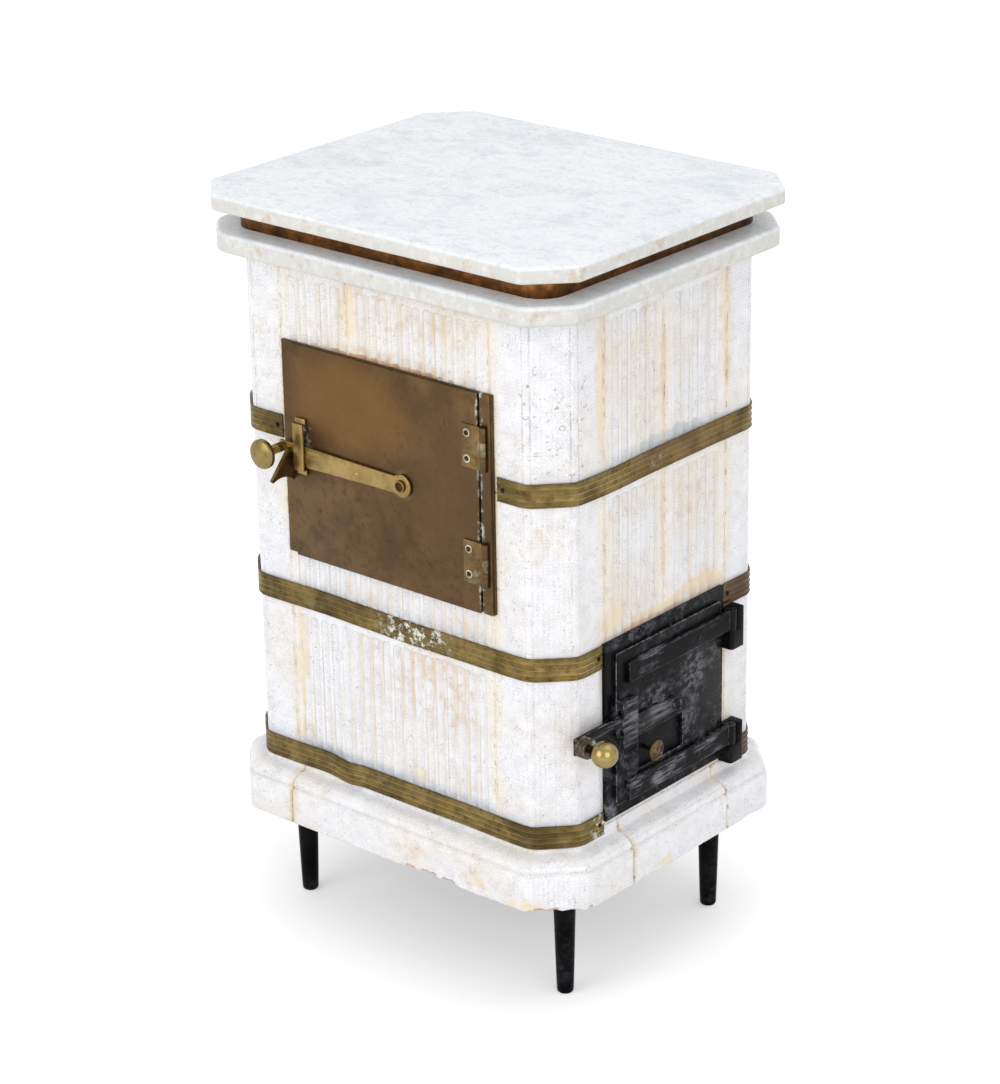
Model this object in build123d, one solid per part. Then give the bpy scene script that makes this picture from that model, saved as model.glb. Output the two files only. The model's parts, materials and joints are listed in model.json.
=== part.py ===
from build123d import *
import math
import os

# Small tiled stove on four iron feet, with a brass warming door in front
# and an iron fire door on its right side.
# Millimetres, +Z up, front towards -Y, origin on the floor at the middle of the outline.

# tiled body
body_width = 442
body_depth = 356
corner_cut = 35
corner_edge_cut = 5
tile_thickness = 30
tile_height = 187
tile_joint = 0.6
front_leg = 46
side_leg = 43
bead_groove_radius = 0.9
front_top_joint = -48
side_joint = -4

# flutes on the flat tiles
flute_pitch = 14.6
flute_width = 10.5
flute_depth = 1.9
flute_facets = 4
flute_side_margin = 10
flute_end_margin = 16

# moulded tile plinth
plinth_overhang = 22
plinth_face_height = 41
plinth_edge_bevel = 1.5
plinth_quirk = 2
plinth_ovolo_height = 13
plinth_step = 2
plinth_neck_height = 14
plinth_joint_x = 133
plinth_joint_y = 80

# base plate and feet
base_plate_thickness = 4
base_plate_inset = 8
foot_length = 127
foot_top_diameter = 25
foot_bottom_diameter = 18
foot_inset_x = 58.6
foot_inset_y = 75.9

# marble slabs and the strip between them
rim_width = 486
rim_depth = 405
rim_thickness = 21
rim_corner_cut = 40
rim_edge_radius = 4.5
top_width = 492
top_depth = 413
top_thickness = 17.5
top_corner_cut = 41.6
top_edge_radius = 2.5
strip_width = 424
strip_depth = 350
strip_height = 23.5
strip_thickness = 1.5
strip_corner_radius = 30

# brass bands
band_height = 25
band_thickness = 1.6
band_ridge = 0.8
band_ridge_height = 1.8
band_rise = 5
band_end_gap = 4
nail_head_radius = 3
nail_head_height = 1.4
nail_shank_radius = 1
nail_from_end = 7

# flats drawn round a turned taper
turned_sides = 24
nail_sides = 12

# clearances
face_gap = 0.5
slide_gap = 0.3
pin_clearance = 0.06
setting_gap = 0.4

# brass door
brass_mouth_margin = 104
brass_mouth_excess = 7
brass_border_side = 25
brass_border_end = 20
brass_frame_thickness = 2.5
brass_frame_corner_radius = 1.5
brass_door_shift = 4
brass_door_drop = 15
brass_lap_left = 11.5
brass_lap_right = 8
brass_leaf_sag = 1
brass_leaf_thickness = 2.5
brass_strip_from_leaf = 2.8
brass_strip_thickness = 2.5
brass_hinge_spread = 123.5
brass_hinge_rise = 2.25
brass_hinge_height = 46
brass_hinge_plate_width = 20
brass_hinge_plate_thickness = 1.8
brass_barrel_radius = 3.6
brass_pin_radius = 1.9
brass_moving_knuckle = 15.6
brass_axis_from_leaf = 8

# brass latch
latch_play = 0.3
brass_latch_lift = 8
brass_pivot_inset = 100.4
brass_pivot_drop = 3.7
brass_bar_height = 25
brass_bar_thickness = 3.2
brass_bar_stand_off = 1
brass_tail_height = 11.8
brass_step_inset = 3
brass_tail_reach = 15.5
brass_knob_reach = 9
brass_shank_radius = 4.5
brass_boss_radius = 8
brass_stud_head_radius = 6.25
brass_stud_head_height = 2.6
brass_guide_inset = 13.5
brass_guide_width = 14
brass_guide_thickness = 2.5
brass_guide_foot = 5
brass_neck_flat = 9
brass_neck_length = 29
brass_knob_radius = 16
brass_knob_thickness = 5.5
brass_knob_crown = 3.5
brass_catch_thickness = 3
brass_ramp_reach = 26
brass_ramp_drop = 29
brass_catch_root = 34
catch_lip_height = 5
catch_lip_thickness = 2.5
catch_nose = 2.8
catch_hollow = 6

# iron door
iron_mouth_margin = 97
iron_mouth_shift = -3
iron_sill_height = 24.6
iron_collar_wall = 4
iron_border_front = 21
iron_border_back = 14
iron_border_low = 22
iron_border_high = 23.6
iron_frame_thickness = 4
iron_lap_front = 8
iron_lap_back = 6
iron_lap_low = 8
iron_lap_high = 9.6
iron_leaf_thickness = 3.7
iron_leaf_corner_radius = 3
iron_strap_height = 23
iron_strap_thickness = 5
iron_strap_bevel = 1.2
iron_strap_end_inset = 16
iron_strap_drop = 25
iron_strap_rise = 13
iron_barrel_radius = 6
iron_pin_radius = 3
iron_axis_from_leaf = 14
iron_axis_from_face = 2.5
iron_lug_thickness = 10.3
iron_lug_drop = 21
iron_lug_round = 4

# iron latch
iron_latch_lift = 9
iron_pivot_inset = 83
iron_pivot_drop = 1.5
iron_eye_radius = 7.5
iron_shank_radius = 4
iron_bar_thickness = 4
iron_bar_stand_off = 1
iron_bar_low = 12.5
iron_bar_high = 12
iron_bar_bend_inset = 19
iron_tail_start_reach = 18
iron_tail_height = 18.5
iron_tail_rise = 1
iron_step_reach = 3.5
iron_tail_reach = 71
iron_guide_inset = 13
iron_guide_width = 24
iron_guide_thickness = 3.5
iron_knob_reach = 64
iron_head_radius = 6.5
iron_head_height = 3
iron_catch_reach = 6
iron_catch_thickness = 4.5
iron_ramp_reach = 17
iron_ramp_drop = 34
iron_catch_root = 40
knob_collar_radius = 11
knob_collar_length = 13
knob_collar_rib = 1
knob_collar_ribs = 3
knob_neck_radius = 4.5
knob_neck_length = 4
knob_ball_radius = 14
knob_ball_bands = 8

# draught slide in the iron door
draught_width = 74.6
draught_height = 38
draught_inset = 36
draught_rise = 29
shutter_lap = 6
shutter_rise = 3.2
shutter_thickness = 3
rail_depth = 5.8
rail_height = 4
rail_lip = 2
rail_end_room = 4
draught_knob_inset = 12
draught_knob_raise = 2
draught_stem_radius = 2.5
draught_stem_length = 12
draught_knob_radius = 11.5
draught_knob_thickness = 4.5

# inside
hearth_height = 69
slab_thickness = 27
ledge_width = 18
ledge_height = 28
grate_thickness = 12
grate_bar = 9
grate_slot = 14
grate_end_bar = 12
grate_length = 260
grate_shift = 20
grate_gap = 2
oven_wall = 2
oven_back_space = 78
oven_bar_height = 8
oven_bar_width = 12
oven_bar_spread = 120
cover_thickness = 25

# flue outlet at the back
flue_outer_radius = 49
flue_wall = 3
flue_reach = 48
flue_flange_radius = 62
flue_flange_thickness = 4

# derived levels
plinth_bottom = foot_length
plinth_quirk_z = plinth_bottom + plinth_face_height
plinth_ovolo_low = plinth_quirk_z + plinth_quirk
plinth_ovolo_high = plinth_ovolo_low + plinth_ovolo_height
plinth_top = plinth_ovolo_high + plinth_neck_height
row_bottoms = [plinth_top + row * tile_height for row in range(3)]
body_top = plinth_top + 3 * tile_height
rim_top = body_top + rim_thickness
strip_top = rim_top + strip_height
stove_top = strip_top + top_thickness
hearth_bottom = plinth_bottom + base_plate_thickness
hearth_top = hearth_bottom + hearth_height

# derived body planes
half_width = body_width / 2
half_depth = body_depth / 2
inner_half_width = half_width - tile_thickness
inner_half_depth = half_depth - tile_thickness
core_half_width = inner_half_width - setting_gap
core_half_depth = inner_half_depth - setting_gap
front_joint = half_width - corner_cut - front_leg
side_corner_joint = half_depth - corner_cut - side_leg

# derived brass door places, measured from the front face
brass_mouth_width = body_width - 2 * brass_mouth_margin
brass_mouth_height = tile_height + brass_mouth_excess
brass_centre_z = row_bottoms[2] - brass_door_drop
brass_frame_height = brass_mouth_height + 2 * brass_border_end
brass_mouth_left = brass_door_shift - brass_mouth_width / 2
brass_mouth_right = brass_door_shift + brass_mouth_width / 2
brass_left = brass_mouth_left - brass_border_side
brass_right = brass_mouth_right + brass_border_side
brass_bottom = brass_centre_z - brass_frame_height / 2
brass_frame_face = -half_depth - brass_frame_thickness
brass_leaf_back = brass_frame_face - face_gap
brass_leaf_face = brass_leaf_back - brass_leaf_thickness
brass_leaf_left = brass_mouth_left - brass_lap_left
brass_leaf_right = brass_mouth_right + brass_lap_right
brass_strip_left = brass_leaf_right + brass_strip_from_leaf
brass_plate_right = brass_leaf_right + brass_axis_from_leaf - brass_barrel_radius - 1.5 * slide_gap
brass_axis_x = brass_leaf_right + brass_axis_from_leaf
brass_axis_y = brass_leaf_face - brass_hinge_plate_thickness / 2
brass_pivot_x = brass_leaf_right - brass_pivot_inset
brass_pivot_z = brass_centre_z - brass_pivot_drop
brass_bar_back = brass_leaf_face - brass_bar_stand_off
brass_bar_face = brass_bar_back - brass_bar_thickness
brass_tail_bottom = brass_pivot_z + brass_bar_height / 2 - brass_tail_height
brass_knob_x = brass_leaf_left - brass_knob_reach
brass_knob_z = brass_tail_bottom + brass_tail_height / 2
brass_knob_face = brass_bar_face - brass_neck_length - brass_knob_thickness - brass_knob_crown

# derived iron door places, measured from the right face
iron_mouth_width = body_depth - 2 * iron_mouth_margin
iron_mouth_top = row_bottoms[1] - tile_joint - setting_gap - iron_collar_wall
iron_mouth_bottom = row_bottoms[0] + iron_sill_height + setting_gap + iron_collar_wall
iron_mouth_front = iron_mouth_shift - iron_mouth_width / 2
iron_mouth_back = iron_mouth_shift + iron_mouth_width / 2
iron_bottom = iron_mouth_bottom - iron_border_low
iron_top = iron_mouth_top + iron_border_high
iron_front_edge = iron_mouth_front - iron_border_front
iron_back_edge = iron_mouth_back + iron_border_back
iron_frame_face = half_width + iron_frame_thickness
iron_leaf_back = iron_frame_face + slide_gap
iron_leaf_face = iron_leaf_back + iron_leaf_thickness
iron_leaf_front_edge = iron_mouth_front - iron_lap_front
iron_leaf_back_edge = iron_mouth_back + iron_lap_back
iron_leaf_bottom = iron_mouth_bottom - iron_lap_low
iron_leaf_top = iron_mouth_top + iron_lap_high
iron_axis_y = iron_leaf_back_edge + iron_axis_from_leaf
iron_axis_x = iron_leaf_face + iron_axis_from_face
iron_lug_wall = iron_axis_y + iron_barrel_radius + 2 * slide_gap
iron_lug_end = iron_lug_wall + iron_lug_thickness
iron_upper_strap_z = iron_leaf_top - iron_strap_drop
iron_lower_strap_z = iron_leaf_bottom + iron_strap_rise
iron_pivot_y = iron_leaf_back_edge - iron_pivot_inset
iron_pivot_z = (iron_leaf_bottom + iron_leaf_top) / 2 - iron_pivot_drop
iron_bar_back = iron_leaf_face + iron_bar_stand_off
iron_bar_face = iron_bar_back + iron_bar_thickness
iron_tail_bottom = iron_pivot_z + iron_tail_rise
iron_tail_middle = iron_tail_bottom + iron_tail_height / 2
iron_knob_y = iron_leaf_front_edge - iron_knob_reach
ball_x = iron_bar_face + knob_collar_length + knob_neck_length + knob_ball_radius
draught_front = iron_leaf_front_edge + draught_inset
draught_back = draught_front + draught_width
draught_low = iron_leaf_bottom + draught_rise
draught_z = draught_low + draught_height / 2
shutter_back = iron_leaf_back - slide_gap - shutter_thickness
shutter_half_height = draught_height / 2 + shutter_rise
draught_knob_y = draught_front + draught_knob_inset
draught_knob_z = draught_z + draught_knob_raise

# derived inside places
ledge_top = hearth_top + ledge_height
slab_face = core_half_depth - slab_thickness
oven_left = brass_mouth_left - oven_wall
oven_right = brass_mouth_right + oven_wall
oven_bottom = brass_centre_z - brass_mouth_height / 2 - oven_wall
oven_top = brass_centre_z + brass_mouth_height / 2 + oven_wall
oven_back = half_depth - oven_back_space
firebox_top = oven_bottom - oven_bar_height
firebox_height = firebox_top - hearth_top
flue_z = row_bottoms[2] + tile_height / 2

# the origin stands under the middle of the whole outline
widest = max(top_width, rim_width, body_width + 2 * plinth_overhang) / 2
deepest = max(top_depth, rim_depth, body_depth + 2 * plinth_overhang) / 2
outline_right = max(ball_x + knob_ball_radius, widest)
outline_left = -widest
outline_front = min(brass_knob_face, -deepest)
outline_back = max(half_depth + flue_reach, deepest)
centre_shift = Pos(-(outline_right + outline_left) / 2, -(outline_front + outline_back) / 2, 0)

os.makedirs("parts", exist_ok=True)


def save(name, shape):
    shape.label = name
    export_step(centre_shift * shape, f"parts/{name}.step")


def span_box(x_range, y_range, z_range):
    size = [high - low for low, high in (x_range, y_range, z_range)]
    middle = [(high + low) / 2 for low, high in (x_range, y_range, z_range)]
    return Pos(*middle) * Box(*size)


def flat_octagon(half_x, half_y, cut):
    corners = []
    for sign_x, sign_y in ((1, 1), (-1, 1), (-1, -1), (1, -1)):
        along = (sign_x * (half_x - cut), sign_y * half_y)
        up = (sign_x * half_x, sign_y * (half_y - cut))
        corners += [up, along] if sign_x * sign_y > 0 else [along, up]
    return make_face(Polyline(*corners, close=True))


# the body outline moved outwards keeps its cut corners at the same distance
def outline(offset):
    cut = corner_cut + offset * (2 - math.sqrt(2))
    return flat_octagon(half_width + offset, half_depth + offset, cut)


# the creases of the corner tiles are eased by a narrow flat
def soft_outline(offset_out):
    face = outline(0)
    eased = chamfer(face.vertices(), corner_edge_cut)
    return offset(eased, offset_out, kind=Kind.INTERSECTION) if offset_out else eased


def prism(face, bottom, height):
    return Pos(0, 0, bottom) * extrude(face, height)


# a turned piece from its radii and heights, drawn with flats to keep its mesh light
def turned(points, sides):
    piece = None
    for low, high in zip(points[:-1], points[1:]):
        wide, narrow = (low, high) if low[0] > high[0] else (high, low)
        length = abs(high[1] - low[1])
        shrink = (wide[0] - narrow[0]) * math.cos(math.pi / sides)
        slope = math.degrees(math.atan(shrink / length))
        step = extrude(RegularPolygon(wide[0], sides), length, taper=slope)
        step = Pos(0, 0, wide[1]) * Rot(0 if wide is low else 180, 0, 0) * step
        piece = step if piece is None else piece + step
    return piece


# corner tiles: a flat leg on each side and a cut corner between two beads
def bead_grooves():
    diagonal = corner_edge_cut / math.sqrt(2)
    crease_x = half_width - corner_cut
    crease_y = half_depth - corner_cut
    return [
        (crease_x - corner_edge_cut, half_depth),
        (crease_x + diagonal, half_depth - diagonal),
        (half_width - diagonal, crease_y + diagonal),
        (half_width, crease_y - corner_edge_cut),
    ]


def corner_tile_face():
    gap = tile_joint / 2
    quadrant = Pos(front_joint + gap + body_width / 2, side_corner_joint + gap + body_depth / 2)
    face = (soft_outline(0) - outline(-tile_thickness)) & (quadrant * Rectangle(body_width, body_depth))
    for x, y in bead_grooves():
        face -= Pos(x, y) * RegularPolygon(bead_groove_radius, 6)
    return face


def corner_column(sign_x, sign_y):
    face = corner_tile_face()
    if sign_x < 0:
        face = mirror(face, Plane.YZ)
    if sign_y < 0:
        face = mirror(face, Plane.XZ)
    height = tile_height - tile_joint
    return Compound([prism(face, bottom, height).solid() for bottom in row_bottoms])


# flat tiles: drawn upright with their face towards -Y
def plain_tile(width):
    height = tile_height - tile_joint
    return Pos(0, tile_thickness / 2, height / 2) * Box(width, tile_thickness, height)


# a flute is a round hollow drawn in facets, wider in front of the tile than it is on it
def flute():
    radius = (flute_width**2 / 4 + flute_depth**2) / (2 * flute_depth)
    half_angle = math.asin(flute_width / 2 / radius)
    points = [(flute_width / 2, -flute_depth), (-flute_width / 2, -flute_depth)]
    for number in range(flute_facets + 1):
        angle = half_angle * (2 * number / flute_facets - 1)
        points.append((radius * math.sin(angle), radius * math.cos(angle) + flute_depth - radius))
    length = tile_height - tile_joint - 2 * flute_end_margin
    return prism(make_face(Polyline(*points, close=True)), flute_end_margin, length)


def fluted_tile(width):
    tile = plain_tile(width)
    hollow = flute()
    count = int((width - 2 * flute_side_margin - flute_width) / flute_pitch) + 1
    for number in range(count):
        tile -= Pos((number - (count - 1) / 2) * flute_pitch, 0, 0) * hollow
    return tile


def tile_run(joints, row):
    tiles = []
    for low, high in zip(joints[:-1], joints[1:]):
        width = high - low - tile_joint
        tiles.append(Pos((low + high) / 2, 0, row_bottoms[row]) * fluted_tile(width))
    return tiles


def oven_hole():
    gap = setting_gap
    return span_box(
        (oven_left - gap, oven_right + gap),
        (-half_depth - tile_thickness, -inner_half_depth + tile_thickness),
        (oven_bottom - gap, oven_top + gap),
    )


def front_tiles(row, joints):
    tiles = [Pos(0, -half_depth, 0) * tile for tile in tile_run(joints, row)]
    hole = oven_hole()
    return Compound([(tile - hole).solid() for tile in tiles])


def right_tiles(row, joints):
    turn = Pos(half_width, 0, 0) * Rot(0, 0, 90)
    return Compound([(turn * tile).solid() for tile in tile_run(joints, row)])


def left_tiles():
    turn = Pos(-half_width, 0, 0) * Rot(0, 0, -90)
    joints = [-side_corner_joint, side_corner_joint]
    return Compound([(turn * tile).solid() for row in range(3) for tile in tile_run(joints, row)])


# the back stands near a wall, so its tiles are plain
def back_tiles(rows):
    turn = Pos(0, half_depth, 0) * Rot(0, 0, 180)
    tile = turn * plain_tile(2 * front_joint - tile_joint)
    tiles = [Pos(0, 0, row_bottoms[row]) * tile for row in rows]
    drill = Cylinder(flue_outer_radius + setting_gap, 3 * tile_thickness)
    hole = Pos(0, half_depth, flue_z) * Rot(90, 0, 0) * drill
    return Compound([(tile - hole).solid() for tile in tiles])


# the plain tile round the fire mouth is open at the top, where the collar fills it
def right_tile_sill():
    gap = tile_joint / 2
    tile = span_box(
        (inner_half_width, half_width),
        (-side_corner_joint + gap, side_corner_joint - gap),
        (row_bottoms[0], row_bottoms[1] - tile_joint),
    )
    wall = iron_collar_wall + setting_gap
    hole = span_box(
        (0, body_width),
        (iron_mouth_front - wall, iron_mouth_back + wall),
        (iron_mouth_bottom - wall, body_top),
    )
    return tile - hole


# plinth: one moulding runs round the eight sides and is cut into tiles
def plinth_profile(distance):
    face = distance + plinth_overhang
    inner = distance + plinth_step
    share = math.sqrt(0.5)
    bulge = (
        inner + (face - inner) * share,
        plinth_ovolo_low + (plinth_ovolo_high - plinth_ovolo_low) * share,
    )
    lower = Polyline(
        (0, plinth_bottom),
        (face - plinth_edge_bevel, plinth_bottom),
        (face, plinth_bottom + plinth_edge_bevel),
        (face, plinth_quirk_z),
        (face - plinth_quirk, plinth_quirk_z),
        (face - plinth_quirk, plinth_ovolo_low),
        (face, plinth_ovolo_low),
    )
    ovolo = ThreePointArc((face, plinth_ovolo_low), bulge, (inner, plinth_ovolo_high))
    upper = Polyline(
        (inner, plinth_ovolo_high),
        (distance, plinth_ovolo_high),
        (distance, plinth_top - tile_joint),
        (0, plinth_top - tile_joint),
        (0, plinth_bottom),
    )
    return make_face(Plane.XZ * (lower + ovolo + upper))


def plinth_ring():
    diagonal = (half_width + half_depth - corner_cut) / math.sqrt(2)
    reach = body_width + body_depth
    ring = None
    for number, distance in enumerate([half_width, diagonal, half_depth, diagonal]):
        half = extrude(plinth_profile(distance), reach, both=True)
        bar = Rot(0, 0, 45 * number) * (half + Rot(0, 0, 180) * half)
        ring = bar if ring is None else ring & bar
    rebate = outline(plinth_overhang - base_plate_inset + setting_gap)
    ring -= prism(rebate, 0, hearth_bottom)
    ring -= prism(outline(plinth_step) - soft_outline(0), plinth_ovolo_high, plinth_neck_height)
    return ring - prism(outline(-tile_thickness), 0, stove_top)


def plinth_front_or_back(ring, sign):
    reach = plinth_joint_x - tile_joint / 2
    y_range = sorted((0, sign * body_width))
    return ring & span_box((-reach, reach), y_range, (0, plinth_top))


def plinth_left_or_right(ring, sign):
    reach = plinth_joint_y - tile_joint / 2
    x_range = sorted((0, sign * body_width))
    return ring & span_box(x_range, (-reach, reach), (0, plinth_top))


def plinth_corners(ring):
    near_x = plinth_joint_x + tile_joint / 2
    near_y = plinth_joint_y + tile_joint / 2
    pieces = []
    for sign_x in (1, -1):
        for sign_y in (1, -1):
            x_range = sorted((sign_x * near_x, sign_x * body_width))
            y_range = sorted((sign_y * near_y, sign_y * body_width))
            pieces.append((ring & span_box(x_range, y_range, (0, plinth_top))).solid())
    return Compound(pieces)


def base_plate():
    return prism(outline(plinth_overhang - base_plate_inset), plinth_bottom, base_plate_thickness)


def foot(sign_x, sign_y):
    x = sign_x * (half_width + plinth_overhang - foot_inset_x)
    y = sign_y * (half_depth + plinth_overhang - foot_inset_y)
    profile = [(foot_bottom_diameter / 2, 0), (foot_top_diameter / 2, foot_length)]
    return Pos(x, y, 0) * turned(profile, turned_sides)


def hearth_block():
    return prism(outline(-tile_thickness - setting_gap), hearth_bottom, hearth_height)


# marble
def marble_slab(width, depth, cut, bottom, thickness, edge_radius):
    slab = prism(flat_octagon(width / 2, depth / 2, cut), bottom, thickness)
    return fillet(slab.edges().filter_by(Plane.XY), edge_radius)


def spacer_strip():
    outer = RectangleRounded(strip_width, strip_depth, strip_corner_radius)
    inner = RectangleRounded(
        strip_width - 2 * strip_thickness,
        strip_depth - 2 * strip_thickness,
        strip_corner_radius - strip_thickness,
    )
    return prism(outer - inner, rim_top, strip_height)


# brass bands: a thin strap with rolled edges and two fine ridges
def band_level(row):
    return row_bottoms[row] + band_rise


def band_ring(level):
    inner = soft_outline(0)
    low = level - band_height / 2
    band = prism(soft_outline(band_thickness) - inner, low, band_height)
    ridge = soft_outline(band_thickness + band_ridge) - inner
    for share in (0, 0.25, 0.75, 1):
        band += prism(ridge, low + share * (band_height - band_ridge_height), band_ridge_height)
    return band


def band_ends(row):
    if row == 2:
        return (brass_left - band_end_gap, brass_right + band_end_gap)
    back = iron_lug_end if row == 0 else iron_back_edge
    return (iron_front_edge - slide_gap, back + band_end_gap)


# each band is open where a door frame stands in its way, and pierced for its nails
def band(row):
    level = band_level(row)
    height = (level - band_height, level + band_height)
    if row == 2:
        gap = span_box(band_ends(row), (-body_width, 0), height)
    else:
        gap = span_box((0, body_width), band_ends(row), height)
    strap = band_ring(level) - gap
    for place in nail_places(row):
        shank_hole = Box(2 * nail_shank_radius, 2 * nail_shank_radius, tile_thickness)
        strap -= place * shank_hole
    return strap


def nail_places(row):
    low, high = band_ends(row)
    level = band_level(row)
    ends = (low - nail_from_end, high + nail_from_end)
    if row == 2:
        return [Pos(x, -half_depth, level) * Rot(90, 0, 0) for x in ends]
    return [Pos(half_width, y, level) * Rot(0, 90, 0) for y in ends]


# a square nail goes through the strap and its head stands on it; the tip ends at the tile face
def band_nails():
    side = 2 * (nail_shank_radius - pin_clearance)
    shank = Pos(0, 0, band_thickness / 2) * Box(side, side, band_thickness)
    head = [(nail_head_radius, band_thickness), (nail_head_radius / 2, band_thickness + nail_head_height)]
    nail = shank + turned(head, nail_sides)
    return Compound([(place * nail).solid() for row in range(3) for place in nail_places(row)])


# brass door
def front_sheet(x_range, z_range, back, thickness):
    return span_box(x_range, (back - thickness, back), z_range)


def brass_hinge_levels():
    middle = brass_centre_z - brass_hinge_rise
    return (middle - brass_hinge_spread / 2, middle + brass_hinge_spread / 2)


def brass_frame():
    height = (brass_bottom, brass_bottom + brass_frame_height)
    flange = front_sheet((brass_left, brass_right), height, -half_depth, brass_frame_thickness)
    flange = fillet(flange.edges().filter_by(Axis.Y), brass_frame_corner_radius)
    middle = Pos(brass_door_shift, -half_depth, brass_centre_z)
    flange -= middle * Box(brass_mouth_width, tile_thickness, brass_mouth_height)
    strip_right = brass_right - brass_frame_corner_radius
    strip = front_sheet((brass_strip_left, strip_right), height, brass_frame_face, brass_strip_thickness)
    for level in brass_hinge_levels():
        strip -= hinge_clearance(level)
    frame = flange + strip
    for level in brass_hinge_levels():
        frame += brass_fixed_knuckles(level)
    return frame


def hinge_clearance(level):
    reach = brass_barrel_radius + slide_gap
    half = brass_hinge_height / 2 + face_gap
    return span_box(
        (brass_strip_left, brass_axis_x + reach),
        (brass_frame_face - 2 * reach, brass_frame_face),
        (level - half, level + half),
    )


def brass_fixed_knuckles(level):
    tab_depth = brass_frame_face - brass_axis_y
    tab = Pos(brass_barrel_radius / 2, tab_depth / 2, 0)
    tab *= Box(brass_barrel_radius, tab_depth, brass_hinge_height)
    body = Cylinder(brass_barrel_radius, brass_hinge_height) + tab
    body -= Box(4 * brass_barrel_radius, 4 * tab_depth, brass_moving_knuckle + 2 * slide_gap)
    body -= Cylinder(brass_pin_radius, brass_hinge_height)
    return Pos(brass_axis_x, brass_axis_y, level) * body


def brass_hinge_leaf(level):
    plate_left = brass_leaf_right - brass_hinge_plate_width
    thickness = brass_hinge_plate_thickness
    half = brass_hinge_height / 2
    knuckle = brass_moving_knuckle / 2
    plate_height = (level - half, level + half)
    wing_height = (level - knuckle, level + knuckle)
    leaf = front_sheet((plate_left, brass_plate_right), plate_height, brass_leaf_face, thickness)
    leaf += front_sheet((plate_left, brass_axis_x), wing_height, brass_leaf_face, thickness)
    axis = Pos(brass_axis_x, brass_axis_y, level)
    leaf += axis * Cylinder(brass_barrel_radius, brass_moving_knuckle)
    leaf -= axis * Cylinder(brass_pin_radius + pin_clearance, brass_hinge_height)
    return leaf


def brass_hinge_leaves():
    return Compound([brass_hinge_leaf(level).solid() for level in brass_hinge_levels()])


def brass_hinge_pins():
    pin = Cylinder(brass_pin_radius, brass_hinge_height)
    return Compound([(Pos(brass_axis_x, brass_axis_y, z) * pin).solid() for z in brass_hinge_levels()])


def brass_door_leaf():
    low = brass_bottom - brass_leaf_sag
    leaf = front_sheet(
        (brass_leaf_left, brass_leaf_right),
        (low, low + brass_frame_height),
        brass_leaf_back,
        brass_leaf_thickness,
    )
    return fillet(leaf.edges().filter_by(Axis.Y), brass_frame_corner_radius)


# brass latch: its outline lies in the XZ plane, with the pivot at the plane's origin
def brass_latch_bar():
    half = brass_bar_height / 2
    tail_low = half - brass_tail_height
    step = brass_leaf_left + brass_step_inset - brass_pivot_x
    end = brass_leaf_left - brass_tail_reach - brass_pivot_x
    tail = Polyline(
        (0, half),
        (end, half),
        (end, tail_low),
        (step, tail_low),
        (step, -half),
        (0, -half),
        close=True,
    )
    face = make_face(tail) + Circle(half)
    face -= Circle(brass_shank_radius + pin_clearance)
    origin = (brass_pivot_x, brass_bar_back, brass_pivot_z)
    plane = Plane(origin=origin, x_dir=(1, 0, 0), z_dir=(0, -1, 0))
    return extrude(plane * face, brass_bar_thickness)


# a stud keeps its bar off the leaf with a boss and holds it under a head
def headed_stud(shank_radius, boss, reach, head_radius, head_height):
    profile = Polyline(
        (0, 0),
        (shank_radius, 0),
        (shank_radius, reach),
        (head_radius, reach),
        (head_radius, reach + head_height),
        (0, reach + head_height),
        close=True,
    )
    return revolve(make_face(Plane.XZ * profile), Axis.Z) + turned(boss, turned_sides)


def brass_latch_stud():
    boss = [(brass_boss_radius, 0), (brass_boss_radius, brass_bar_stand_off - latch_play)]
    reach = brass_bar_stand_off + brass_bar_thickness + latch_play
    stud = headed_stud(brass_shank_radius, boss, reach, brass_stud_head_radius, brass_stud_head_height)
    return Pos(brass_pivot_x, brass_leaf_face, brass_pivot_z) * Rot(90, 0, 0) * stud


# height that a latch bar's upper edge reaches at a distance from the pivot once it is lifted;
# the edge starts at a rise over the pivot and climbs with a slope
def lifted_edge(rise, slope, lift, distance):
    angle = math.radians(lift)
    along = (distance + rise * math.sin(angle)) / (math.cos(angle) - slope * math.sin(angle))
    return rise * math.cos(angle) + along * (slope * math.cos(angle) + math.sin(angle))


# the guide is a bridge over the bar, tall enough for the whole lift
def brass_latch_guide():
    middle = brass_leaf_left + brass_guide_inset
    x_range = (middle - brass_guide_width / 2, middle + brass_guide_width / 2)
    half = brass_bar_height / 2
    wall = brass_guide_thickness
    low = brass_pivot_z - half - latch_play
    raised = lifted_edge(half, 0, brass_latch_lift, brass_pivot_x - x_range[0])
    high = brass_pivot_z + raised + latch_play
    inner_face = brass_bar_face - latch_play
    strap = span_box(x_range, (inner_face - wall, brass_leaf_face), (low - wall, high + wall))
    strap -= span_box(x_range, (inner_face, brass_leaf_face), (low, high))
    ends = (low - wall - brass_guide_foot, high + wall + brass_guide_foot)
    feet = front_sheet(x_range, ends, brass_leaf_face, wall)
    feet -= span_box(x_range, (inner_face, brass_leaf_face), (low, high))
    return strap + feet


def brass_latch_knob():
    neck = extrude(RegularPolygon(brass_neck_flat / 2, 6, major_radius=False), brass_neck_length)
    rim = brass_neck_length + brass_knob_thickness
    crown = rim + brass_knob_crown
    profile = [
        (brass_knob_radius, brass_neck_length),
        (brass_knob_radius, rim),
        (brass_knob_radius / 2, crown - brass_knob_crown / 4),
        (brass_knob_radius / 4, crown),
    ]
    knob = neck + turned(profile, turned_sides)
    return Pos(brass_knob_x, brass_bar_face, brass_knob_z) * Rot(90, 0, 0) * knob


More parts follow.
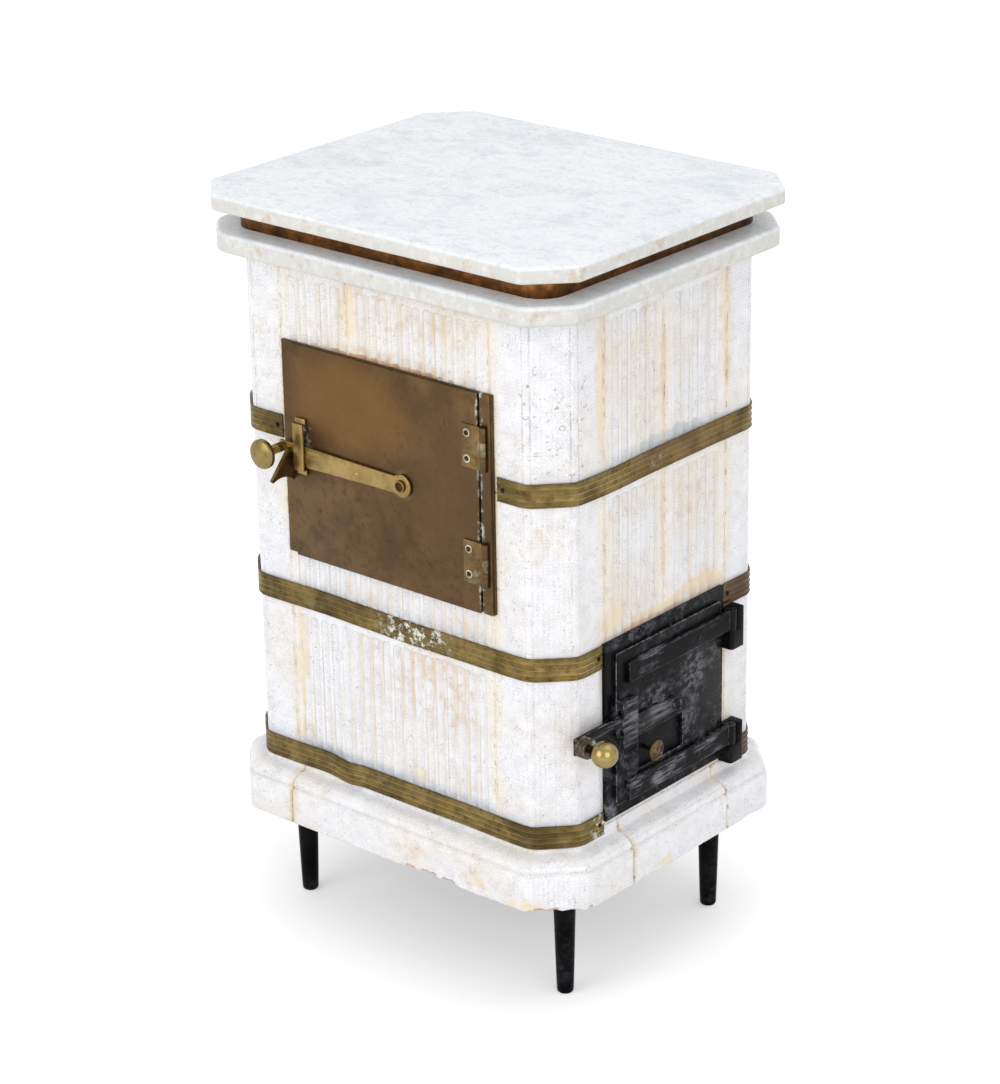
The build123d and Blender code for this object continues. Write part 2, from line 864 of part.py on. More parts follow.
# a catch stands on its door frame: a notch for the latch tail, then a lip and a ramp beyond it
def catch_face(bar_face_reach, ramp_reach, ramp_drop, root):
    lip = bar_face_reach + latch_play
    crest = lip + catch_lip_thickness
    tip = crest + ramp_reach
    tip_low = catch_lip_height - ramp_drop
    nose_out = tip - catch_nose
    nose_low = tip_low - catch_nose
    upper = Polyline(
        (0, -root),
        (0, -latch_play),
        (lip, -latch_play),
        (lip, catch_lip_height),
        (crest, catch_lip_height),
        (tip, tip_low),
        (nose_out, nose_low),
    )
    hollow = (nose_out / 2, (nose_low - root) / 2 + catch_hollow)
    return make_face(upper + ThreePointArc((nose_out, nose_low), hollow, (0, -root)))


def brass_latch_catch():
    x = brass_leaf_left - face_gap
    reach = brass_frame_face - brass_bar_face
    plane = Plane(
        origin=(x, brass_frame_face, brass_tail_bottom),
        x_dir=(0, -1, 0),
        z_dir=(-1, 0, 0),
    )
    face = catch_face(reach, brass_ramp_reach, brass_ramp_drop, brass_catch_root)
    return extrude(plane * face, brass_catch_thickness)


# iron door
def iron_strap_levels():
    return (iron_lower_strap_z, iron_upper_strap_z)


# a lug: a cheek beside the strap's eye and a block below it, on a pad beside the frame
def iron_lug(level):
    low = level - iron_strap_height / 2 - iron_lug_drop
    high = level + iron_strap_height / 2
    block_top = level - iron_strap_height / 2 - slide_gap
    block_front = iron_axis_y - iron_barrel_radius
    face = iron_axis_x + iron_barrel_radius
    cheek = span_box((half_width, face), (iron_lug_wall, iron_lug_end), (low, high))
    block = span_box((half_width, face), (block_front, iron_lug_end), (low, block_top))
    pad = span_box((half_width, iron_frame_face), (iron_back_edge - face_gap, iron_lug_end), (low, high))
    lug = cheek + block
    corners = lug.edges().filter_by(Axis.Z).group_by(Axis.X)[-1]
    lug = fillet(corners, iron_lug_round) + pad
    bore = Cylinder(iron_pin_radius, 4 * iron_strap_height)
    return lug - Pos(iron_axis_x, iron_axis_y, level) * bore


def iron_frame():
    flange = span_box(
        (half_width, iron_frame_face),
        (iron_front_edge, iron_back_edge),
        (iron_bottom, iron_top),
    )
    wall = iron_collar_wall
    collar = span_box(
        (inner_half_width, half_width),
        (iron_mouth_front - wall, iron_mouth_back + wall),
        (iron_mouth_bottom - wall, iron_mouth_top + wall),
    )
    mouth = span_box(
        (0, body_width),
        (iron_mouth_front, iron_mouth_back),
        (iron_mouth_bottom, iron_mouth_top),
    )
    frame = flange + collar - mouth
    for level in iron_strap_levels():
        frame += iron_lug(level)
    return frame


def iron_door_leaf():
    leaf = span_box(
        (iron_leaf_back, iron_leaf_face),
        (iron_leaf_front_edge, iron_leaf_back_edge),
        (iron_leaf_bottom, iron_leaf_top),
    )
    leaf = fillet(leaf.edges().filter_by(Axis.X), iron_leaf_corner_radius)
    leaf -= span_box(
        (0, body_width),
        (draught_front, draught_back),
        (draught_low, draught_low + draught_height),
    )
    return leaf + shutter_rails()


# two angle rails behind the leaf hold the shutter and end inside the fire mouth
def shutter_rails():
    start = draught_front - shutter_lap - rail_end_room
    end = iron_mouth_back - slide_gap - rail_end_room / 4
    back = iron_leaf_back - rail_depth
    rails = None
    for sign in (1, -1):
        inner = draught_z + sign * (shutter_half_height + slide_gap)
        outer = inner + sign * rail_height
        lip = inner - sign * rail_lip
        web = span_box((back, iron_leaf_back), (start, end), sorted((inner, outer)))
        edge = span_box((back, shutter_back - slide_gap), (start, end), sorted((lip, outer)))
        rail = web + edge
        rails = rail if rails is None else rails + rail
    return rails


def iron_strap(level):
    bar = span_box(
        (iron_leaf_face, iron_leaf_face + iron_strap_thickness),
        (iron_leaf_front_edge + iron_strap_end_inset, iron_axis_y),
        (level - iron_strap_height / 2, level + iron_strap_height / 2),
    )
    outer_edges = bar.edges().group_by(Axis.X)[-1].filter_by(Axis.Y)
    axis = Pos(iron_axis_x, iron_axis_y, level)
    strap = chamfer(outer_edges, iron_strap_bevel) + axis * Cylinder(iron_barrel_radius, iron_strap_height)
    return strap - axis * Cylinder(iron_pin_radius + pin_clearance, 2 * iron_strap_height)


def iron_hinge_pins():
    length = iron_strap_height + iron_lug_drop
    pins = []
    for level in iron_strap_levels():
        place = Pos(iron_axis_x, iron_axis_y, level - iron_lug_drop / 2)
        pins.append((place * Cylinder(iron_pin_radius, length)).solid())
    return Compound(pins)


# iron latch: its outline lies in the YZ plane, with the pivot at the plane's origin
def iron_bar_points():
    tail_top = iron_tail_rise + iron_tail_height
    bend = iron_leaf_front_edge + iron_bar_bend_inset - iron_pivot_y
    shoulder = iron_leaf_front_edge - iron_tail_start_reach - iron_pivot_y
    end = iron_leaf_front_edge - iron_tail_reach - iron_pivot_y
    step = iron_leaf_front_edge - iron_step_reach - iron_pivot_y
    return [
        (0, iron_eye_radius),
        (bend, iron_bar_high),
        (shoulder, tail_top),
        (end, tail_top),
        (end, iron_tail_rise),
        (step, iron_tail_rise),
        (step, -iron_bar_low),
        (-iron_eye_radius, -iron_eye_radius),
        (0, -iron_eye_radius),
    ]


def iron_latch_bar():
    face = make_face(Polyline(*iron_bar_points(), close=True)) + Circle(iron_eye_radius)
    face -= Circle(iron_shank_radius + pin_clearance)
    origin = (iron_bar_back, iron_pivot_y, iron_pivot_z)
    plane = Plane(origin=origin, x_dir=(0, 1, 0), z_dir=(1, 0, 0))
    return extrude(plane * face, iron_bar_thickness)


def iron_latch_stud():
    boss = [(iron_eye_radius, 0), (iron_eye_radius, iron_bar_stand_off - latch_play)]
    reach = iron_bar_stand_off + iron_bar_thickness + latch_play
    stud = headed_stud(iron_shank_radius, boss, reach, iron_head_radius, iron_head_height)
    return Pos(iron_leaf_face, iron_pivot_y, iron_pivot_z) * Rot(0, 90, 0) * stud


def iron_latch_guide():
    middle = iron_leaf_front_edge + iron_guide_inset
    y_range = (middle - iron_guide_width / 2, middle + iron_guide_width / 2)
    reach = iron_pivot_y - y_range[0]
    wall = iron_guide_thickness
    low = iron_pivot_z - iron_bar_low - latch_play
    bend, shoulder = iron_bar_points()[1:3]
    slope = (shoulder[1] - bend[1]) / (bend[0] - shoulder[0])
    sloping = lifted_edge(bend[1] + bend[0] * slope, slope, iron_latch_lift, reach)
    level = lifted_edge(shoulder[1], 0, iron_latch_lift, reach)
    high = iron_pivot_z + min(sloping, level) + latch_play
    inner_face = iron_bar_face + latch_play
    strap = span_box((iron_leaf_face, inner_face + wall), y_range, (low - wall, high + wall))
    return strap - span_box((iron_leaf_face, inner_face), y_range, (low, high))


def iron_latch_catch():
    y = iron_leaf_front_edge - iron_catch_reach
    reach = iron_bar_face - iron_frame_face
    plane = Plane(origin=(iron_frame_face, y, iron_tail_bottom), x_dir=(1, 0, 0), z_dir=(0, -1, 0))
    face = catch_face(reach, iron_ramp_reach, iron_ramp_drop, iron_catch_root)
    return extrude(plane * face, iron_catch_thickness)


def on_iron_tail(shape, distance):
    place = Pos(iron_bar_face + distance, iron_knob_y, iron_tail_middle)
    return place * Rot(0, 90, 0) * shape


# the collar is turned with vee grooves between its ribs
def knob_collar():
    step = knob_collar_length / (2 * knob_collar_ribs - 2)
    profile = []
    for number in range(2 * knob_collar_ribs - 1):
        profile.append((knob_collar_radius - knob_collar_rib * (number % 2), number * step))
    return on_iron_tail(turned(profile, turned_sides), 0)


# the ball is drawn in bands between two small flat ends
def knob_ball():
    centre = knob_neck_length + knob_ball_radius
    end_radius = knob_ball_radius * math.sin(math.pi / knob_ball_bands / 4)
    profile = [(end_radius, centre - knob_ball_radius)]
    for number in range(1, knob_ball_bands):
        angle = math.pi * number / knob_ball_bands
        profile.append((knob_ball_radius * math.sin(angle), centre - knob_ball_radius * math.cos(angle)))
    profile.append((end_radius, centre + knob_ball_radius))
    neck = turned([(knob_neck_radius, 0), (knob_neck_radius, centre)], turned_sides)
    return on_iron_tail(neck + turned(profile, turned_sides), knob_collar_length)


# draught slide
def draught_shutter():
    return span_box(
        (shutter_back, shutter_back + shutter_thickness),
        (draught_front - shutter_lap, draught_back + shutter_lap),
        (draught_z - shutter_half_height, draught_z + shutter_half_height),
    )


def draught_knob():
    length = draught_stem_length + iron_leaf_thickness + slide_gap
    profile = [
        (draught_knob_radius, length),
        (draught_knob_radius, length + draught_knob_thickness / 2),
        (draught_knob_radius * math.sqrt(0.5), length + draught_knob_thickness),
    ]
    stem = turned([(draught_stem_radius, 0), (draught_stem_radius, length)], turned_sides)
    knob = stem + turned(profile, turned_sides)
    start = shutter_back + shutter_thickness
    return Pos(start, draught_knob_y, draught_knob_z) * Rot(0, 90, 0) * knob


# fireclay slabs: front and back carry the grate on a ledge, the end slab closes the left
def firebox_slabs():
    profile = Polyline(
        (core_half_depth, hearth_top),
        (core_half_depth, firebox_top),
        (slab_face, firebox_top),
        (slab_face, ledge_top),
        (slab_face - ledge_width, ledge_top),
        (slab_face - ledge_width, hearth_top),
        close=True,
    )
    core = prism(outline(-tile_thickness - setting_gap), hearth_top, firebox_height)
    slab_end = -core_half_width + slab_thickness
    room = span_box((slab_end, body_width), (-body_depth, body_depth), (0, firebox_top))
    back = extrude(make_face(Plane.YZ * profile), body_width, both=True) & core & room
    end = span_box(
        (-core_half_width, slab_end),
        (-core_half_depth, core_half_depth),
        (hearth_top, firebox_top),
    )
    return Compound([piece.solid() for piece in (mirror(back, Plane.XZ), back, end & core)])


def grate():
    half = slab_face - grate_gap
    plate = span_box(
        (grate_shift - grate_length / 2, grate_shift + grate_length / 2),
        (-half, half),
        (ledge_top, ledge_top + grate_thickness),
    )
    pitch = grate_bar + grate_slot
    count = int((grate_length - 2 * grate_bar - grate_slot) / pitch) + 1
    slot = Rectangle(grate_slot, 2 * (half - ledge_width - grate_end_bar))
    for number in range(count):
        x = grate_shift + (number - (count - 1) / 2) * pitch
        plate -= Pos(x, 0, ledge_top) * extrude(slot, grate_thickness)
    return plate


def oven_box():
    shell = span_box((oven_left, oven_right), (-half_depth, oven_back), (oven_bottom, oven_top))
    room = span_box(
        (brass_mouth_left, brass_mouth_right),
        (-half_depth - tile_thickness, oven_back - oven_wall),
        (oven_bottom + oven_wall, oven_top - oven_wall),
    )
    return shell - room


# two flat bars lie on the fireclay slabs and carry the oven box
def oven_bars():
    bars = []
    for sign in (1, -1):
        bar = Box(oven_bar_width, 2 * core_half_depth, oven_bottom - firebox_top)
        x = brass_door_shift + sign * oven_bar_spread / 2
        bars.append((Pos(x, 0, (oven_bottom + firebox_top) / 2) * bar).solid())
    return Compound(bars)


def cover_slab():
    core = outline(-tile_thickness - setting_gap)
    return prism(core, body_top - cover_thickness, cover_thickness)


def flue_collar():
    inner = flue_outer_radius - flue_wall
    flange_back = tile_thickness + flue_flange_thickness
    profile = Polyline(
        (inner, 0),
        (flue_outer_radius, 0),
        (flue_outer_radius, tile_thickness),
        (flue_flange_radius, tile_thickness),
        (flue_flange_radius, flange_back),
        (flue_outer_radius, flange_back),
        (flue_outer_radius, tile_thickness + flue_reach),
        (inner, tile_thickness + flue_reach),
        close=True,
    )
    collar = revolve(make_face(Plane.XZ * profile), Axis.Z)
    return Pos(0, inner_half_depth, flue_z) * Rot(-90, 0, 0) * collar


def build_base():
    for side, sign_y in (("front", -1), ("back", 1)):
        for hand, sign_x in (("left", -1), ("right", 1)):
            save(f"foot_{side}_{hand}", foot(sign_x, sign_y))
            save(f"corner_tiles_{side}_{hand}", corner_column(sign_x, sign_y))
    save("base_plate", base_plate())
    ring = plinth_ring()
    save("plinth_corners", plinth_corners(ring))
    save("plinth_front", plinth_front_or_back(ring, -1))
    save("plinth_back", plinth_front_or_back(ring, 1))
    save("plinth_left", plinth_left_or_right(ring, -1))
    save("plinth_right", plinth_left_or_right(ring, 1))
    save("hearth_block", hearth_block())


def build_tiles():
    whole = [-front_joint, front_joint]
    save("front_tiles_top", front_tiles(2, [-front_joint, front_top_joint, front_joint]))
    save("front_tile_middle", front_tiles(1, whole))
    save("front_tile_bottom", front_tiles(0, whole))
    side_joints = [-side_corner_joint, side_joint, side_corner_joint]
    save("right_tiles_top", right_tiles(2, side_joints))
    save("right_tiles_middle", right_tiles(1, side_joints))
    save("right_tile_sill", right_tile_sill())
    save("left_tiles", left_tiles())
    save("back_tile_flue", back_tiles([2]))
    save("back_tiles_lower", back_tiles([0, 1]))


def build_top():
    rim = (rim_width, rim_depth, rim_corner_cut)
    top = (top_width, top_depth, top_corner_cut)
    save("marble_rim", marble_slab(*rim, body_top, rim_thickness, rim_edge_radius))
    save("marble_top", marble_slab(*top, strip_top, top_thickness, top_edge_radius))
    save("spacer_strip", spacer_strip())
    for row, name in enumerate(("lower", "middle", "upper")):
        save(f"band_{name}", band(row))
    save("band_nails", band_nails())


def build_brass_door():
    save("brass_frame", brass_frame())
    save("brass_door_leaf", brass_door_leaf())
    save("brass_hinge_leaves", brass_hinge_leaves())
    save("brass_hinge_pins", brass_hinge_pins())
    save("brass_latch_bar", brass_latch_bar())
    save("brass_latch_stud", brass_latch_stud())
    save("brass_latch_guide", brass_latch_guide())
    save("brass_latch_knob", brass_latch_knob())
    save("brass_latch_catch", brass_latch_catch())


def build_iron_door():
    save("iron_frame", iron_frame())
    save("iron_door_leaf", iron_door_leaf())
    save("iron_strap_lower", iron_strap(iron_lower_strap_z))
    save("iron_strap_upper", iron_strap(iron_upper_strap_z))
    save("iron_hinge_pins", iron_hinge_pins())
    save("iron_latch_bar", iron_latch_bar())
    save("iron_latch_stud", iron_latch_stud())
    save("iron_latch_guide", iron_latch_guide())
    save("iron_latch_catch", iron_latch_catch())
    save("iron_latch_collar", knob_collar())
    save("iron_latch_ball", knob_ball())
    save("draught_shutter", draught_shutter())
    save("draught_knob", draught_knob())


def build_inside():
    save("firebox_slabs", firebox_slabs())
    save("grate", grate())
    save("oven_box", oven_box())
    save("oven_bars", oven_bars())
    save("cover_slab", cover_slab())
    save("flue_collar", flue_collar())


build_base()
build_tiles()
build_top()
build_brass_door()
build_iron_door()
build_inside()
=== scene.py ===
import bpy
import bmesh
import json
import math
from mathutils import Vector, Matrix, noise

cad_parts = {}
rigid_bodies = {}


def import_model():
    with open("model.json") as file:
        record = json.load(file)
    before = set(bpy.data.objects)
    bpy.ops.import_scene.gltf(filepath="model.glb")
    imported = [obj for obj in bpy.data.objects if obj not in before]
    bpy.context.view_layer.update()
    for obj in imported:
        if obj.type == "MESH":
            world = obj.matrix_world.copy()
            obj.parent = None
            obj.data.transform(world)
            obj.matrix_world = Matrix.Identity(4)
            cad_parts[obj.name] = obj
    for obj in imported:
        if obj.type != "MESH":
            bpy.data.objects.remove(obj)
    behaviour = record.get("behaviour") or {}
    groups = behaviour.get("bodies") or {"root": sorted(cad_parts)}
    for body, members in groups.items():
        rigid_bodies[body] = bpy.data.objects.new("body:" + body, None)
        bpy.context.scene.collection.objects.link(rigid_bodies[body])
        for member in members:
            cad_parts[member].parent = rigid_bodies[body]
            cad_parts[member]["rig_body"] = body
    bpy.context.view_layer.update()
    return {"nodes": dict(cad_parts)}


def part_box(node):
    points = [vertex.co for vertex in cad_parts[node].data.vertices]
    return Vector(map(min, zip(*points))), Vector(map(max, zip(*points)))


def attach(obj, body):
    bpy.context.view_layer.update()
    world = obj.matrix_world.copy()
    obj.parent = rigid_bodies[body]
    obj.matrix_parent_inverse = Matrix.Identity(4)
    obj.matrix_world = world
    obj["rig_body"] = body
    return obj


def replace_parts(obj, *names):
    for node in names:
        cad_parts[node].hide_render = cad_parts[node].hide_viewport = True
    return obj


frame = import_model()
print("frame loaded")

# lengths below are in millimetres, measured from the middle of the stove's body
mm = 0.001
plateLow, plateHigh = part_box("base_plate")
bodyX = (plateLow.x + plateHigh.x) / 2
bodyY = (plateLow.y + plateHigh.y) / 2

body = {
    "halfWidth": 221.0,
    "halfDepth": 178.0,
    "cornerCut": 35.0,
    "creaseRadius": 12.0,
    "tileThickness": 30.0,
    "rowBottoms": (197.0, 384.0, 571.0),
    "rowHeight": 187.0,
    "joint": 0.6,
    "frontJoint": 140.0,
    "sideJoint": 100.0,
    "topJoint": -48.0,
    "rightJoint": -4.0,
}
bodyTop = body["rowBottoms"][2] + body["rowHeight"]


def world(x, y, z):
    return Vector((bodyX + x * mm, bodyY + y * mm, z * mm))


def smoothStep(low, high, value):
    t = min(max((value - low) / (high - low), 0.0), 1.0)
    return t * t * (3 - 2 * t)


def wobble(x, y, z, size, seed):
    return noise.noise(Vector((x / size + seed * 7.3, y / size - seed * 3.1, z / size + seed)))


def feed(tree, target, value):
    if hasattr(value, "is_output"):
        tree.links.new(value, target)
    else:
        target.default_value = value


# a new node with its sockets set or linked
def addNode(tree, kind, sockets=None, **settings):
    node = tree.nodes.new("ShaderNode" + kind)
    for key, value in settings.items():
        setattr(node, key, value)
    for key, value in (sockets or {}).items():
        feed(tree, node.inputs[key], value)
    return node


# a material that is built up by laying one colour over another
class Surface:
    def __init__(self, name, look, first):
        self.material = bpy.data.materials.new(name)
        self.material.use_nodes = True
        self.tree = self.material.node_tree
        self.shader = self.tree.nodes["Principled BSDF"]
        self.coords = addNode(self.tree, "TexCoord").outputs["Object"]
        self.look = look
        self.shade = (*look.get(first, first), 1.0)
        self.relief = {}

    def node(self, kind, sockets, **settings):
        return addNode(self.tree, kind, sockets, **settings)

    def put(self, name, value):
        feed(self.tree, self.shader.inputs[name], value)

    def mapped(self, stretch):
        return self.node("Mapping", {"Scale": stretch, "Vector": self.coords}).outputs["Vector"]

    def noise(self, scale, detail, rough, stretch=(1, 1, 1), warp=0.0):
        sockets = {"Scale": scale, "Detail": detail, "Roughness": rough, "Distortion": warp}
        return self.node("TexNoise", {**sockets, "Vector": self.mapped(stretch)}).outputs["Fac"]

    def cells(self, scale, feature="F1", stretch=(1, 1, 1), randomness=1.0):
        sockets = {"Scale": scale, "Randomness": randomness, "Vector": self.mapped(stretch)}
        return self.node("TexVoronoi", sockets, feature=feature).outputs["Distance"]

    def ramp(self, value, low, high, a=0.0, b=1.0):
        sockets = {"Value": value, "From Min": low, "From Max": high, "To Min": a, "To Max": b}
        return self.node("MapRange", sockets, interpolation_type="SMOOTHSTEP").outputs["Result"]

    # noise that is cut off between two levels
    def patches(self, scale, detail, rough, low, high, a=0.0, b=1.0, stretch=(1, 1, 1)):
        return self.ramp(self.noise(scale, detail, rough, stretch), low, high, a, b)

    def math(self, kind, a, b=0.0):
        return self.node("Math", {0: a, 1: b}, operation=kind, use_clamp=kind != "SUBTRACT").outputs[0]

    def times(self, product, *factors):
        for factor in factors:
            product = self.math("MULTIPLY", product, factor)
        return product

    def larger(self, a, b):
        return self.math("MAXIMUM", a, b)

    def plus(self, a, b):
        return self.math("ADD", a, b)

    # one near a place, falling to nothing at a radius
    def near(self, place, radius, upward=1.0, across=1.0):
        offset = self.node("VectorMath", {0: self.coords, 1: world(*place)}, operation="SUBTRACT")
        scale = (across, across, upward)
        scaled = self.node("VectorMath", {0: offset.outputs[0], 1: scale}, operation="MULTIPLY")
        length = self.node("VectorMath", {0: scaled.outputs[0]}, operation="LENGTH")
        return self.ramp(length.outputs["Value"], radius * mm * 0.35, radius * mm, 1.0, 0.0)

    def attribute(self, name):
        return self.node("Attribute", {}, attribute_name=name).outputs["Fac"]

    # lays a colour over the ones before
    def lay(self, share, tint, amount=None):
        share = share if amount is None else self.times(share, amount)
        above = (*self.look.get(tint, tint), 1.0)
        self.shade = self.node("Mix", {0: share, 6: self.shade, 7: above}, data_type="RGBA").outputs[2]

    # each bump stands on the ones before
    def bump(self, height, distance, strength):
        sockets = {"Strength": strength, "Distance": distance, "Height": height, **self.relief}
        self.relief = {"Normal": self.node("Bump", sockets).outputs["Normal"]}
        self.put("Normal", self.relief["Normal"])

    def finish(self, roughness):
        self.put("Base Color", self.shade)
        self.put("Roughness", roughness)


glazeLook = {
    "white": (0.855, 0.86, 0.90),
    "cream": (0.82, 0.76, 0.65),
    "peach": (0.62, 0.45, 0.28),
    "tan": (0.66, 0.56, 0.40),
    "brown": (0.26, 0.15, 0.075),
    "grey": (0.42, 0.42, 0.44),
    "shade": (0.42, 0.45, 0.50),
    "clay": (0.55, 0.29, 0.15),
    "chipTan": (0.38, 0.31, 0.20),
    "lineTan": (0.50, 0.45, 0.36),
    "crazeSize": 270.0,
    "crazeStrength": 0.65,
}

# places where the photographed stove is stained: x, y, z, radius, upward stretch, strength
stainPlaces = (
    (-48.0, -178.0, 735.0, 26.0, 0.5, 0.9), (-33.0, -178.0, 740.0, 24.0, 0.5, 0.8),
    (50.0, -178.0, 738.0, 95.0, 2.4, 0.75), (10.0, -178.0, 677.0, 150.0, 12.0, 1.0),
    (60.0, -178.0, 330.0, 80.0, 1.1, 0.9), (-20.0, -178.0, 340.0, 60.0, 1.1, 0.5),
    (-128.0, -178.0, 330.0, 14.0, 0.16, 0.45), (-128.0, -178.0, 225.0, 20.0, 0.7, 0.8),
    (35.0, -178.0, 228.0, 18.0, 1.0, 0.5), (90.0, -178.0, 232.0, 40.0, 1.3, 0.4),
    (-56.0, -178.0, 412.0, 70.0, 4.0, 0.6), (95.0, -178.0, 409.0, 60.0, 3.0, 0.5),
    (200.0, -160.0, 530.0, 42.0, 0.8, 0.45), (221.0, -104.0, 700.0, 15.0, 0.14, 0.9),
    (221.0, 100.0, 690.0, 16.0, 0.16, 0.9), (221.0, -4.0, 660.0, 9.0, 0.10, 0.6),
    (221.0, -4.0, 500.0, 9.0, 0.10, 0.6), (221.0, 60.0, 412.0, 48.0, 1.6, 1.0),
    (221.0, -75.0, 420.0, 50.0, 2.0, 0.7), (221.0, -60.0, 545.0, 45.0, 2.0, 0.45),
    (205.0, -160.0, 330.0, 60.0, 0.9, 0.4), (38.0, -200.0, 150.0, 30.0, 1.5, 0.8),
    (134.0, -200.0, 146.0, 34.0, 1.5, 0.8), (185.0, -195.0, 145.0, 30.0, 1.4, 0.6),
    (-133.0, -200.0, 150.0, 16.0, 0.4, 0.8), (243.0, -85.0, 150.0, 24.0, 0.7, 0.5),
)

# clay smeared over the glaze, and painted shadow above two bands: x, y, z, radius, upward stretch, colour
paleClay = (0.80, 0.68, 0.50)
rustClay = (0.50, 0.28, 0.13)
warmClay = (0.80, 0.63, 0.43)
peachClay = (0.68, 0.38, 0.20)
bandShadowGrey = (0.53, 0.55, 0.55)
smearPlaces = (
    (221.0, 58.0, 410.0, 70.0, 2.4, warmClay), (221.0, -10.0, 406.0, 130.0, 8.0, warmClay),
    (221.0, -20.0, 403.0, 120.0, 16.0, peachClay),
    (221.0, -82.0, 420.0, 26.0, 0.7, paleClay), (0.0, -178.0, 674.0, 170.0, 36.0, rustClay),
    # painted shadow above the upper band on the right and above the lower band in front
    (221.0, 5.0, 591.0, 90.0, 4.5, bandShadowGrey), (-90.0, -178.0, 217.0, 100.0, 9.0, bandShadowGrey),
    (34.0, -178.0, 226.0, 16.0, 0.9, (0.80, 0.74, 0.40)),
    (-128.0, -178.0, 330.0, 11.0, 0.09, paleClay), (221.0, -104.0, 670.0, 12.0, 0.13, paleClay),
    (221.0, 98.0, 690.0, 11.0, 0.14, paleClay), (-44.0, -178.0, 715.0, 14.0, 0.25, paleClay),
    (144.0, -178.0, 560.0, 9.0, 0.06, paleClay), (40.0, -200.0, 148.0, 26.0, 2.4, paleClay),
    (130.0, -200.0, 143.0, 28.0, 2.2, paleClay), (190.0, -190.0, 134.0, 44.0, 4.0, paleClay),
    (243.0, -20.0, 134.0, 50.0, 6.0, paleClay), (-133.0, -195.0, 160.0, 12.0, 0.3, paleClay),
)
